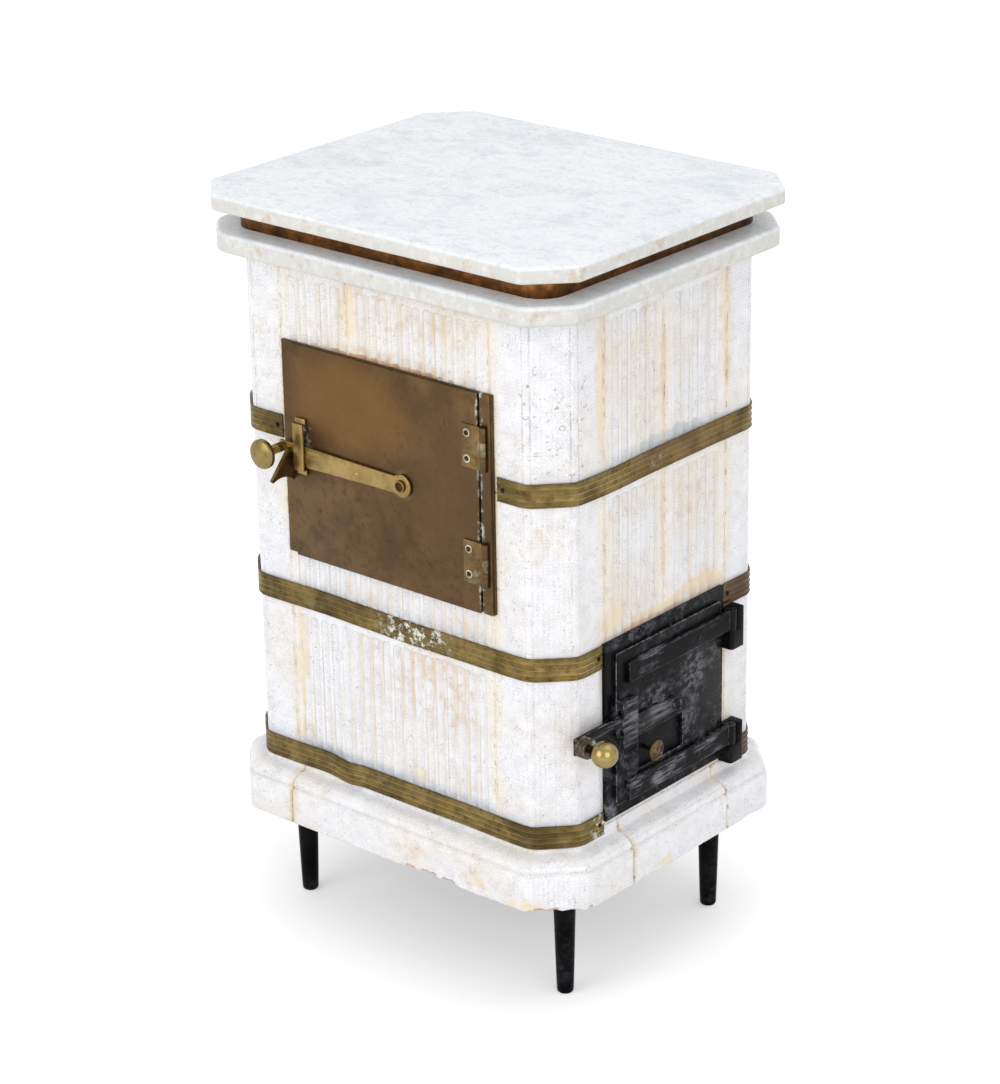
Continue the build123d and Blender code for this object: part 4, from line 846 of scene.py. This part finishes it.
# holes: left, right, low, high, and the radius of a round one
ovenHole = (-115.4, 123.4, 456.6, 655.4)
flueHole = (-52.0, 52.0, 612.5, 716.5, 54.0)
sillHole = (-88.4, 82.4, 221.6, 400.0)
wide, deep = body["frontJoint"], body["sideJoint"]
frontHalves = ((-wide, body["topJoint"]), (body["topJoint"], wide))
rightHalves = ((-deep, body["rightJoint"]), (body["rightJoint"], deep))
flatTiles = (
    ("front_tiles_top", "front", frontHalves, (2,), ovenHole, glazeTop),
    ("front_tile_middle", "front", ((-wide, wide),), (1,), ovenHole, glaze),
    ("front_tile_bottom", "front", ((-wide, wide),), (0,), None, glaze),
    ("right_tiles_top", "right", rightHalves, (2,), None, glazeWarm),
    ("right_tiles_middle", "right", rightHalves, (1,), None, glazeWarm),
    ("left_tiles", "left", ((-deep, deep),), (0, 1, 2), None, glaze),
    ("back_tile_flue", "back", ((-wide, wide),), (2,), flueHole, glaze),
    ("back_tiles_lower", "back", ((-wide, wide),), (0, 1), None, glaze),
)
for node, side, spans, rows, hole, material in flatTiles:
    for row in rows:
        for low, high in spans:
            tileSeed += 1
            name = "%s_%d_%d" % (node, row, int(low + 200))
            piece = flatTile(name, side, low, high, row, material, tileSeed, hole, side == "back")
            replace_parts(piece, node)
sill = flatTile("right_tile_sill_look", "right", -deep, deep, 0, glazeWarm, 50, sillHole, True)
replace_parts(sill, "right_tile_sill")
print("tiles made", tileSeed)


jointLook = {
    "recess": 0.9,
    "depth": 6.0,
    "width": 2.4,
    "frontTopFrom": 660.0,
    "rightMiddleFrom": 386.0,
}


# an upright strip of clay between two tiles, from a height to the top of the body
def jointStrip(name, side, middle, low):
    recess = jointLook["recess"]
    back = recess + jointLook["depth"]
    uLow = middle - jointLook["width"] / 2
    uHigh = middle + jointLook["width"] / 2
    steps = int((bodyTop - low) / 6)
    verts = []
    for k in range(steps + 1):
        v = low + (bodyTop - low) * k / steps
        for share, w in ((0, back), (0, recess), (0.5, recess - 0.25), (1, recess), (1, back)):
            u = uLow + (uHigh - uLow) * share
            w += 0.25 * wobble(u, v, w, 9, 3.0) if w < back else 0.0
            verts.append(onFace(side, u, v, -w))
    newPiece(name, verts, tubeFaces(steps + 1, 5), mortar, "stove")


for side, reach in (("front", wide), ("back", wide), ("right", deep), ("left", deep)):
    for u in (-reach, reach):
        jointStrip("joint_%s_%d" % (side, u), side, u, body["rowBottoms"][0])
jointStrip("joint_front_top", "front", body["topJoint"], jointLook["frontTopFrom"])
jointStrip("joint_right_mid", "right", body["rightJoint"], jointLook["rightMiddleFrom"])


plinthLook = {
    "profile": (
        (-8.0, 131.4), (13.6, 131.4), (14.4, 127.4), (20.4, 127.0), (21.6, 127.8), (22.0, 129.2),
        (22.0, 133.6), (22.0, 145.0), (22.0, 165.4), (21.2, 166.8), (18.9, 167.6), (18.3, 169.6),
        (19.9, 170.6), (20.5, 171.6), (19.6, 174.4), (17.0, 177.4), (12.8, 180.2), (7.6, 182.2),
        (3.4, 183.0), (1.6, 183.4), (0.4, 184.4), (0.0, 186.0), (0.0, 192.0), (-0.3, 195.6),
        (-1.4, 196.4), (-30.0, 196.4), (-30.0, 131.4),
    ),
    "faceRow": 7,
    "lowEdge": 127.0,
    # heights of a darker lower edge, and of painted shade in the quirk groove and under the shoulder below
    # the band
    "darkLowEdge": 127.5,
    "shadeQuirk": 168.6,
    "shadeShoulder": 184.0,
    "steps": 30,
    "fineSteps": 90,
    "jointX": 133.0,
    "jointY": 80.0,
    "edgeRound": 1.8,
    "wave": 0.5,
}


def plinthRadius(offset):
    return 12.0 + max(0.0, offset) * 0.25


# the joint beside the front right corner doesn't show: glaze has run over it
def hiddenJoint(kind, length, total):
    if kind == ("flat", "front"):
        return length > total / 2
    return kind == ("corner", 1, -1) and length < total / 2


def plinthPath(kind, offset):
    gap = body["joint"] / 2
    if kind[0] == "corner":
        radius = plinthRadius(offset) if offset > -20 else 1.0
        start = plinthLook["jointX"] + (0.0 if hiddenJoint(kind, 0.0, 1.0) else gap)
        return creasePath(offset, radius, start, plinthLook["jointY"] + gap, kind[1], kind[2])
    along, out, reach = sides[kind[1]]
    half = (plinthLook["jointX"] if kind[1] in ("front", "back") else plinthLook["jointY"]) - gap
    edge = plinthLook["edgeRound"]
    steps = plinthLook["fineSteps"] if kind[1] in ("front", "right") else plinthLook["steps"]
    places = [-half, -half + 0.3 * edge, -half + edge]
    places += [-half + 2 * half * k / steps for k in range(2, steps - 1)]
    places += [half - edge, half - 0.3 * edge, half + (gap if kind[1] == "front" else 0.0)]
    result = []
    for u in places:
        x = along[0] * u + out[0] * (reach + offset)
        y = along[1] * u + out[1] * (reach + offset)
        result.append((x, y, out[0], out[1]))
    return result


# chipped places along the lower edge: position, half length and depth
chipPlaces = (
    (-60.0, -200.0, 10.0, 1.5), (38.0, -200.0, 16.0, 2.6), (62.0, -200.0, 20.0, 3.4),
    (90.0, -200.0, 14.0, 2.6), (160.0, -200.0, 22.0, 1.4), (200.0, -192.0, 20.0, 1.7),
    (224.0, -170.0, 18.0, 2.0), (243.0, -142.0, 16.0, 1.7), (243.0, -60.0, 16.0, 0.9),
    (243.0, 30.0, 20.0, 0.7), (243.0, 120.0, 16.0, 1.0),
)


def chipDepth(x, y, z):
    deepest = 0.0
    for cx, cy, size, depth in chipPlaces:
        distance = math.hypot(x - cx, y - cy) / size
        if distance < 1:
            ragged = 0.7 + 1.2 * wobble(x, y, 0, 6.5, 4.0)
            reach = min(5.5, depth * (1 - distance * distance) * max(0.0, ragged) * 2.2)
            deepest = max(deepest, reach - (z - plinthLook["lowEdge"]))
    return max(0.0, deepest)


def plinthPiece(name, kind, seed):
    profile = plinthLook["profile"]
    paths = [plinthPath(kind, offset) for offset, z in profile]
    edge = plinthLook["edgeRound"]
    lengths = pathLengths(paths[plinthLook["faceRow"]])
    total = lengths[-1]
    verts, marks = [], Marks()
    for (offset, z), path in zip(profile, paths):
        # painted shade in the quirk groove and under the shoulder, and a darker lower edge, carried by the
        # rim mark
        groove = math.exp(-((z - plinthLook["shadeQuirk"]) / 1.8) ** 2)
        groove += 0.7 * math.exp(-((z - plinthLook["shadeShoulder"]) / 1.6) ** 2)
        low = math.exp(-((z - plinthLook["darkLowEdge"]) / 1.5) ** 2) * 0.7
        for length, (x, y, nx, ny) in zip(lengths, path):
            reach = total / 2 if hiddenJoint(kind, length, total) else min(length, total - length)
            drop = hurt = 0.0
            if offset > -5:
                drop = edgeDrop(reach, edge) + plinthLook["wave"] * (0.5 + wobble(x, y, z, 60, seed))
                hurt = chipDepth(x, y, z) if 127 <= z < 132 and offset > 15 else 0.0
                drop += hurt * 0.55
            verts.append(world(x - nx * drop, y - ny * drop, z + hurt * 0.9))
            marks.add(reach, reach, chip=min(1.0, hurt * 0.9), rim=min(1.0, max(0.65 * groove, low)))
    columns = len(paths[0])
    faces = gridFaces(len(profile), columns, loop=True)
    for first in (0, columns - 1):
        faces.append(tuple(range(first, len(verts), columns)))
    return newPiece(name, verts, faces, glazePlinth, "stove", marks.values, 55.0)


plinthSeed = 70
for side in ("front", "back", "left", "right"):
    plinthSeed += 1
    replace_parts(plinthPiece("plinth_%s_look" % side, ("flat", side), plinthSeed), "plinth_" + side)
for signX in (-1, 1):
    for signY in (-1, 1):
        plinthSeed += 1
        name = "plinth_corner_%d_%d" % (signX + 1, signY + 1)
        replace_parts(plinthPiece(name, ("corner", signX, signY), plinthSeed), "plinth_corners")
print("plinth made")


bandEdge = (
    (0.15, 12.5), (1.3, 12.6), (2.2, 12.3), (2.4, 11.8), (2.1, 11.2), (1.5, 10.8), (1.4, 7.0),
    (1.6, 6.7), (2.3, 6.2), (1.6, 5.7), (1.4, 5.4),
)
bandMiddle = ((1.5, -0.9), (2.3, -0.3), (1.5, 0.3))
bandProfile = (*((w, -v) for w, v in bandEdge), *bandMiddle, *reversed(bandEdge))


# walks round the soft outline from one place on a face, right round, to another on it
def ringSamples(fromSide, fromU, toU, step=4.0):
    corners = []
    for signX, signY, backwards in ((1, -1, False), (1, 1, True), (-1, 1, False), (-1, -1, True)):
        corner = creasePath(0.0, bandLook["cornerRadius"], 0.0, 0.0, signX, signY)
        corners.append(corner[::-1] if backwards else corner)
    start = list(sides).index(fromSide)
    corners = corners[start:] + corners[:start]
    along, out, reach = sides[fromSide]

    def onStart(u):
        return (along[0] * u + out[0] * reach, along[1] * u + out[1] * reach, *out)

    def ahead(p):
        return p[0] * along[0] + p[1] * along[1]

    first = [p for p in corners[0][1:] if ahead(p) > fromU + 1 or p[2:] != out]
    last = [p for p in corners[3] if ahead(p) < toU - 1 or p[2:] != out]
    path = [onStart(fromU)]
    for p in (*first, *corners[1], *corners[2], *last, onStart(toU)):
        if math.hypot(p[0] - path[-1][0], p[1] - path[-1][1]) > 0.05:
            path.append(p)
    lengths = pathLengths(path)
    samples = []
    place = 0
    count = int(lengths[-1] / step)
    for k in range(count + 1):
        s = lengths[-1] * k / count
        while place < len(path) - 2 and lengths[place + 1] < s:
            place += 1
        t = (s - lengths[place]) / (lengths[place + 1] - lengths[place])
        x, y, nx, ny = [a + (b - a) * t for a, b in zip(path[place], path[place + 1])]
        size = math.hypot(nx, ny)
        samples.append((x, y, nx / size, ny / size, s))
    return samples


# bent places of the bands: row, x, y, half length, rise, stand-off
bandBends = (
    (2, 221.0, 20.0, 85.0, 0.9, 0.9), (0, -66.0, -178.0, 16.0, -2.6, 0.5),
    (0, -100.0, -178.0, 30.0, 1.8, 0.5), (1, 40.0, -178.0, 60.0, -1.0, 0.4),
    (1, -100.0, -178.0, 40.0, 1.0, 0.3), (2, 221.0, -90.0, 40.0, -1.0, 0.2),
)


def bandBend(row, x, y):
    rise = stand = 0.0
    for place, cx, cy, size, up, out in bandBends:
        if place == row:
            share = math.exp(-(math.hypot(x - cx, y - cy) / size) ** 2)
            rise += up * share
            stand += out * share
    return rise, stand


def bandPiece(name, row, side, fromU, toU, seed):
    level = body["rowBottoms"][row] + bandLook["rise"]
    samples = ringSamples(side, fromU, toU)
    total = samples[-1][4]
    verts, ridges = [], []
    for x, y, nx, ny, s in samples:
        ends = smoothStep(0, 30, s) * smoothStep(0, 30, total - s)
        rise, away = bandBend(row, x, y)
        stand = 0.3 + (0.3 * wobble(x, y, 0, 45, seed) + away) * ends
        dip = (bandLook["wave"] * wobble(x, y, 10, 90, seed + 2) + rise) * ends
        for w, v in bandProfile:
            out = w + stand + 0.2 * wobble(x, y, v * 2, 7, seed + 5)
            verts.append(world(x + nx * out, y + ny * out, level + v + dip))
            # the ridge mark carries the painted highlight
            ridges.append(1.0 if w > bandLook["ridgeTop"] and abs(v) < bandLook["ridgeReach"] else 0.0)
    faces = tubeFaces(len(samples), len(bandProfile))
    return newPiece(name, verts, faces, bandBrass, "stove", {"ridge": ridges}, 50.0)


bands = (
    ("band_upper", 2, "front", 150.0, -142.0),
    ("band_middle", 1, "right", 96.0, -105.3),
    ("band_lower", 0, "right", 119.3, -105.3),
)
for number, (node, row, side, fromU, toU) in enumerate(bands):
    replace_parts(bandPiece(node + "_look", row, side, fromU, toU, 20 + number), node)
print("bands made")


# a turned piece: radii and heights along a direction, from a place in metres
def lathe(name, profile, place, direction, material, bodyName, slotName, turns=48):
    axis = Vector(direction).normalized()
    side = axis.orthogonal().normalized()
    up = axis.cross(side)
    verts = []
    for radius, height in profile:
        for k in range(turns):
            angle = 2 * math.pi * k / turns
            out = side * math.cos(angle) + up * math.sin(angle)
            verts.append(place + (axis * height + out * radius) * mm)
    return newPiece(name, verts, tubeFaces(len(profile), turns), material, bodyName)


def roundProfile(centre, radius, firstRadius, lastRadius, steps=24):
    first = math.asin(firstRadius / radius)
    last = math.pi - math.asin(lastRadius / radius)
    angles = [first + (last - first) * k / steps for k in range(steps + 1)]
    return [(radius * math.sin(a), centre - radius * math.cos(a)) for a in angles]


# the middle of one end of a node's box in metres, and the way from that end to the other
def endOf(node, axis, high):
    low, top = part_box(node)
    place = (low + top) / 2
    place[axis] = top[axis] if high else low[axis]
    direction = Vector((0, 0, 0))
    direction[axis] = -1 if high else 1
    return place, direction


def turnedNode(node, shape, axis, high, material, bodyName, slotName, label="_look", turns=48):
    place, direction = endOf(node, axis, high)
    piece = lathe(node + label, shape, place, direction, material, bodyName, slotName, turns)
    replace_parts(piece, node)


footShape = (
    (5.0, 0.0), (7.4, 0.5), (8.6, 1.8), (9.0, 3.6), (9.6, 22.0), (10.9, 70.0), (12.5, 127.0),
)
for corner in ("front_left", "front_right", "back_left", "back_right"):
    turnedNode("foot_" + corner, footShape, 2, False, ironGloss, "stove", "foot_iron")

ballLook = {"radius": 14.0, "neck": 4.5, "neckLength": 4.0}
ballShape = [(ballLook["neck"], -0.6), (ballLook["neck"], ballLook["neckLength"] - 0.6)]
ballShape += roundProfile(ballLook["neckLength"] + ballLook["radius"], ballLook["radius"], 5.2, 1.2)
turnedNode("iron_latch_ball", ballShape, 0, False, ballBrass, "iron_latch", "brass")

collarShape = (
    (8.6, 0.0), (10.4, 0.3), (11.0, 1.0), (11.0, 2.4), (10.2, 3.0), (9.7, 3.8), (10.2, 4.6),
    (11.0, 5.2), (11.0, 7.8), (10.2, 8.4), (9.7, 9.2), (10.2, 10.0), (10.9, 10.6), (10.9, 11.8),
    (10.2, 12.7), (8.8, 13.0), (7.4, 12.6), (6.4, 11.4), (4.6, 11.2),
)
turnedNode("iron_latch_collar", collarShape, 0, False, collarBrass, "iron_latch", "dark_brass")

neckShape = ((5.2, 0.0), (5.2, 24.5), (4.6, 25.4), (4.6, 29.0))
discShape = (
    (5.0, 25.8), (6.6, 26.2), (8.2, 27.6), (12.0, 28.6), (15.2, 29.0), (15.9, 29.8), (16.0, 31.0),
    (16.0, 33.0), (15.6, 34.2), (14.6, 34.9), (12.0, 35.9), (8.0, 37.0), (4.0, 37.7), (1.0, 37.9),
)
for label, shape, turns in (("_neck", neckShape, 6), ("_disc", discShape, 48)):
    turnedNode("brass_latch_knob", shape, 1, True, knobBrass, "brass_latch", "brass", label, turns)

draughtShape = (
    (2.5, 0.0), (2.5, 15.6), (4.2, 16.0), (10.6, 16.0), (11.4, 16.6), (11.5, 17.6), (11.2, 18.8),
    (10.2, 19.5), (8.8, 19.6), (8.2, 18.9), (5.0, 18.9), (4.5, 19.6), (3.4, 20.3), (1.0, 20.5),
)
turnedNode("draught_knob", draughtShape, 0, False, wornBrass, "draught", "dark_brass")

# the latch studs are hollow in the middle, where the end of the shank shows dark:
# body, axis, end, materials, slot, reach, head radius and height, shank and boss radius
studLook = {
    "brass_latch_stud": ("brass_door", 1, True, goldBrass, darkBrass, "brass", 7.1, 6.25, 2.6, 4.5, 8.0),
    "iron_latch_stud": ("iron_door", 0, False, ironWorn, ironGloss, "iron", 8.3, 6.5, 3.0, 4.0, 7.5),
}
for node, look in studLook.items():
    bodyName, axis, high, material, inner, slotName, reach, head, headHeight, shank, boss = look
    neck = reach - headHeight
    shape = (
        (boss, 0.0), (boss, 0.7), (shank, 0.7), (shank, neck), (head - 0.3, neck), (head, neck + 0.4),
        (head, reach - 0.9), (head - 0.4, reach - 0.2), (head - 0.8, reach), (head - 1.2, reach - 0.3),
        (head - 1.5, reach - 1.6), (1.0, reach - 1.8),
    )
    turnedNode(node, shape, axis, high, material, bodyName, slotName)
    rivet = ((4.5, reach - 2.2), (4.5, reach - 1.4), (3.4, reach - 1.0), (0.8, reach - 0.9))
    lathe(node + "_rivet", rivet, *endOf(node, axis, high), inner, bodyName, slotName, 32)

# rivets hold the moving hinge leaves; their pale rims are painted highlights
rivetLook = {
    "axis": 137.0,
    "fromAxis": 21.0,
    "spread": 13.5,
    "face": -185.25,
    "levels": (492.0, 615.5),
    "rim": ((3.0, -0.4), (4.4, -0.4), (4.4, 0.25), (3.9, 0.5), (3.1, 0.5)),
    "head": ((2.7, -0.4), (2.7, 0.9), (2.2, 1.5), (0.8, 1.8)),
}
for level in rivetLook["levels"]:
    for rise in (-rivetLook["spread"], rivetLook["spread"]):
        place = world(rivetLook["axis"] - rivetLook["fromAxis"], rivetLook["face"], level + rise)
        label = "hinge_rivet_%d_%d" % (level, rise + 20)
        lathe(label + "_rim", rivetLook["rim"], place, (0, -1, 0), paleBrassHighlight, "brass_door", "brass", 28)
        lathe(label, rivetLook["head"], place, (0, -1, 0), darkBrass, "brass_door", "dark_brass", 28)

# small rivets: place, direction, radius
smallRivets = (
    # the small pin on the bar is coloured pale as a painted highlight
    ("bar_pin", (-31.0, -187.7, 552.0), (0, -1, 0), 1.3, paleBrassHighlight, "brass_latch", "brass"),
    *(("strap_pin_" + letter, (234.0, y, z), (1, 0, 0), 3.4, ironWorn, "iron_door", "iron")
      for letter, y, z in (("a", -60.0, 363.6), ("b", 40.0, 363.6), ("c", -60.0, 231.0), ("d", 40.0, 231.0))),
)
for label, place, out, radius, material, bodyName, slotName in smallRivets:
    shape = ((radius, -0.5), (radius, 0.2), (radius * 0.8, 0.7), (radius * 0.3, 0.9))
    lathe(label, shape, world(*place), out, material, bodyName, slotName, 24)

# the slabs: how far each corner is cut, how round the upright edges and the other edges are worn
slabLook = {
    "marble_rim": (40.0, 24.0, 4.5),
    "marble_top": (41.6, 12.0, 3.2),
}


# the eight-sided outline of a slab about its middle, with outward normals
def slabOutline(halfX, halfY, cut, radius):
    loop = []
    for signX, signY in ((1, 1), (1, -1), (-1, -1), (-1, 1)):
        pair = [(signX * (halfX - cut), signY * halfY), (signX * halfX, signY * (halfY - cut))]
        loop += pair if signX == signY else reversed(pair)
    loop = [Vector(p) for p in loop]
    points = []
    for k, corner in enumerate(loop):
        ahead = (loop[(k + 1) % 8] - corner).normalized()
        behind = (corner - loop[k - 1]).normalized()
        first, last = Vector((-behind.y, behind.x)), Vector((-ahead.y, ahead.x))
        reach = radius * math.tan(math.pi / 8)
        centre = corner - behind * reach - first * radius
        if points:
            start, end = Vector(points[-1][:2]), centre + first * radius
            count = int((end - start).length / 16)
            points += [(*start.lerp(end, j / count), *first) for j in range(1, count)]
        for j in range(8):
            normal = first.lerp(last, j / 7).normalized()
            points.append((*(centre + normal * radius), *normal))
    return points


def slabPiece(node, cut, radius, edge):
    low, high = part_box(node)
    middle = (low + high) / 2
    size = (high - low) / mm
    outline = slabOutline(size.x / 2, size.y / 2, cut, radius)
    turns = [math.pi / 2 * k / 6 for k in range(7)]
    levels = [(edge * (1 - math.sin(a)), edge * (1 - math.cos(a))) for a in turns]
    levels += [(inset, size.z - z) for inset, z in reversed(levels)]
    verts = []
    for inset, z in levels:
        for x, y, nx, ny in outline:
            drop = inset + 0.4 + 0.4 * wobble(x, y, z, 26, 5.0)
            inX, inY = x - nx * drop, y - ny * drop
            verts.append(Vector((middle.x + inX * mm, middle.y + inY * mm, low.z + z * mm)))
    stone = marbleMaterial(node + "_stone", high.z)
    faces = tubeFaces(len(levels), len(outline))
    bodyName = frame["nodes"][node]["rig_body"]
    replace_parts(newPiece(node + "_look", verts, faces, stone, bodyName), node)


for node, (cut, radius, edge) in slabLook.items():
    slabPiece(node, cut, radius, edge)
eased("spacer_strip", stripCopper, 0.2)

# the brass bar narrows behind its round eye and widens again towards its tail
barLook = {
    "pivot": (28.6, 552.3),
    "edge": 12.5,
    "shape": ((0.0, 12.5), (-5.0, 11.5), (-8.5, 9.4), (-11.0, 8.2), (-150.0, 11.6), (-170.0, 12.2)),
}


def narrowBar(bm):
    pivot = world(barLook["pivot"][0], 0.0, barLook["pivot"][1])
    shape = barLook["shape"]
    for x, reach in shape[1:4]:
        place = pivot + Vector((x * mm, 0, 0))
        geom = list(bm.verts) + list(bm.edges) + list(bm.faces)
        bmesh.ops.bisect_plane(bm, geom=geom, plane_co=place, plane_no=(1, 0, 0), dist=0.000001)
    for vert in bm.verts:
        x = (vert.co.x - pivot.x) / mm
        z = (vert.co.z - pivot.z) / mm
        if abs(z) < barLook["edge"] - 0.1 or x > -0.5:
            continue
        for (nearX, nearReach), (farX, farReach) in zip(shape[:-1], shape[1:]):
            if farX <= x <= nearX:
                share = (nearX - x) / (nearX - farX)
                reach = nearReach + (farReach - nearReach) * share
                vert.co.z = pivot.z + math.copysign(reach, z) * mm
                break


easedParts = (
    ("brass_door_leaf", leafBrass, 0.5), ("brass_frame", leafBrass, 0.35),
    ("brass_hinge_leaves", hingeBrass, 0.35), ("brass_hinge_pins", hingeBrass, 0.2),
    ("brass_latch_guide", goldBrass, 0.5), ("brass_latch_catch", hingeBrass, 0.6),
    ("band_nails", ironDark, 0.2),
    ("iron_frame", iron, 0.6), ("iron_door_leaf", iron, 0.7),
    ("iron_strap_upper", ironWorn, 0.7), ("iron_strap_lower", ironWorn, 0.7),
    ("iron_hinge_pins", ironDark, 0.3), ("iron_latch_bar", ironWorn, 0.8),
    ("iron_latch_guide", ironWorn, 0.8), ("iron_latch_catch", iron, 0.7),
    ("draught_shutter", ironDark, 0.4), ("flue_collar", sheetIron, 0.4),
    ("base_plate", sheetIron, 0.4), ("grate", sheetIron, 0.6), ("oven_box", sheetIron, 0.2),
    ("oven_bars", sheetIron, 0.3),
)
for node, material, width in easedParts:
    # black iron bevels take the paler edge material, worn grey and painted highlight
    eased(node, material, width, None, ironEdgeWearAndHighlight if material in (iron, ironWorn) else None)
eased("brass_latch_bar", goldBrass, 0.8, narrowBar)
for node in ("hearth_block", "firebox_slabs", "cover_slab"):
    eased(node, fireclay, 1.0)
print("metal parts made")


stageLook = {
    "floorColor": (0.80, 0.80, 0.80),
    "floorGlow": 0.37,
    "floorReach": 12.0,
    "worldLow": 0.54,
    "worldHigh": 0.96,
    "lightSize": 2.4,
    "lightTarget": (0, 0, 0.4),
    "topPower": 10.0,
    "frontPower": 38.0,
    "sidePower": 31.5,
}
white = (1, 1, 1, 1)


# what the camera sees as background, metal and glass see too
def seenShare(tree):
    rays = addNode(tree, "LightPath").outputs
    share = rays["Is Camera Ray"]
    for kind in ("Is Glossy Ray", "Is Transmission Ray"):
        share = addNode(tree, "Math", {0: share, 1: rays[kind]}, operation="MAXIMUM").outputs[0]
    return share


def makeFloor():
    mesh = bpy.data.meshes.new("floor")
    reach = stageLook["floorReach"]
    corners = [(-reach, -reach, 0), (reach, -reach, 0), (reach, reach, 0), (-reach, reach, 0)]
    mesh.from_pydata(corners, [], [(0, 1, 2, 3)])
    n = Surface("floor_white", stageLook, "floorColor")
    n.finish(0.9)
    n.put("Specular IOR Level", 0.0)
    n.put("Emission Color", white)
    n.put("Emission Strength", n.times(seenShare(n.tree), stageLook["floorGlow"]))
    mesh.materials.append(n.material)
    floor = bpy.data.objects.new("floor", mesh)
    bpy.context.scene.collection.objects.link(floor)


def makeWorld():
    background = bpy.data.worlds.new("studio")
    background.use_nodes = True
    tree = background.node_tree
    tree.nodes.clear()
    coords = addNode(tree, "TexCoord").outputs["Generated"]
    height = addNode(tree, "SeparateXYZ", {0: coords}).outputs["Z"]
    rise = addNode(tree, "MapRange", {
        "Value": height, "From Min": 0.0, "From Max": 0.8,
        "To Min": stageLook["worldLow"], "To Max": stageLook["worldHigh"],
    }).outputs["Result"]
    soft = addNode(tree, "Background", {"Color": white, "Strength": rise}).outputs[0]
    plain = addNode(tree, "Background", {"Color": white, "Strength": 1.0}).outputs[0]
    mixer = addNode(tree, "MixShader", {0: seenShare(tree), 1: soft, 2: plain})
    addNode(tree, "OutputWorld", {"Surface": mixer.outputs[0]})
    bpy.context.scene.world = background


def makeLight(name, place, power):
    light = bpy.data.lights.new(name, "AREA")
    light.shape = "RECTANGLE"
    light.size = light.size_y = stageLook["lightSize"]
    light.energy = power
    obj = bpy.data.objects.new(name, light)
    obj.location = place
    aim = Vector(stageLook["lightTarget"]) - Vector(place)
    obj.rotation_euler = aim.to_track_quat("-Z", "Y").to_euler()
    bpy.context.scene.collection.objects.link(obj)


cameraLook = {
    "azimuth": 40.78,
    "elevation": 22.19,
    "roll": -1.02,
    "distance": 3.5785,
    "focalPixels": 3359.4,
    "axisX": 501.31,
    "axisY": 543.5,
    "target": (-0.3, -0.5, 422.7),
    "frame": (1000, 1084),
}


def makeCamera():
    azimuth = math.radians(cameraLook["azimuth"])
    elevation = math.radians(cameraLook["elevation"])
    roll = math.radians(cameraLook["roll"])
    back = Vector((
        math.sin(azimuth) * math.cos(elevation),
        -math.cos(azimuth) * math.cos(elevation),
        math.sin(elevation),
    ))
    right = Vector((math.cos(azimuth), math.sin(azimuth), 0))
    up = back.cross(right)
    right, up = right * math.cos(roll) + up * math.sin(roll), up * math.cos(roll) - right * math.sin(roll)
    place = world(*cameraLook["target"]) + back * cameraLook["distance"]
    data = bpy.data.cameras.new("camera")
    data.sensor_fit = "AUTO"
    data.sensor_width = 36.0
    across, upward = cameraLook["frame"]
    longest = max(across, upward)
    data.lens = cameraLook["focalPixels"] * data.sensor_width / longest
    data.shift_x = (across / 2 - cameraLook["axisX"]) / longest
    data.shift_y = (cameraLook["axisY"] - upward / 2) / longest
    data.clip_start = 0.05
    camera = bpy.data.objects.new("camera", data)
    camera.matrix_world = Matrix((
        (right.x, up.x, back.x, place.x),
        (right.y, up.y, back.y, place.y),
        (right.z, up.z, back.z, place.z),
        (0, 0, 0, 1),
    ))
    bpy.context.scene.collection.objects.link(camera)
    bpy.context.scene.camera = camera


makeFloor()
makeWorld()
for name, place in (("top", (0.9, 0.8, 3.0)), ("front", (-0.6, -3.3, 1.6)), ("side", (3.1, -1.6, 1.5))):
    makeLight(name + "_light", place, stageLook[name + "Power"])
makeCamera()
bpy.context.scene.view_settings.view_transform = "Standard"
print("stage made")
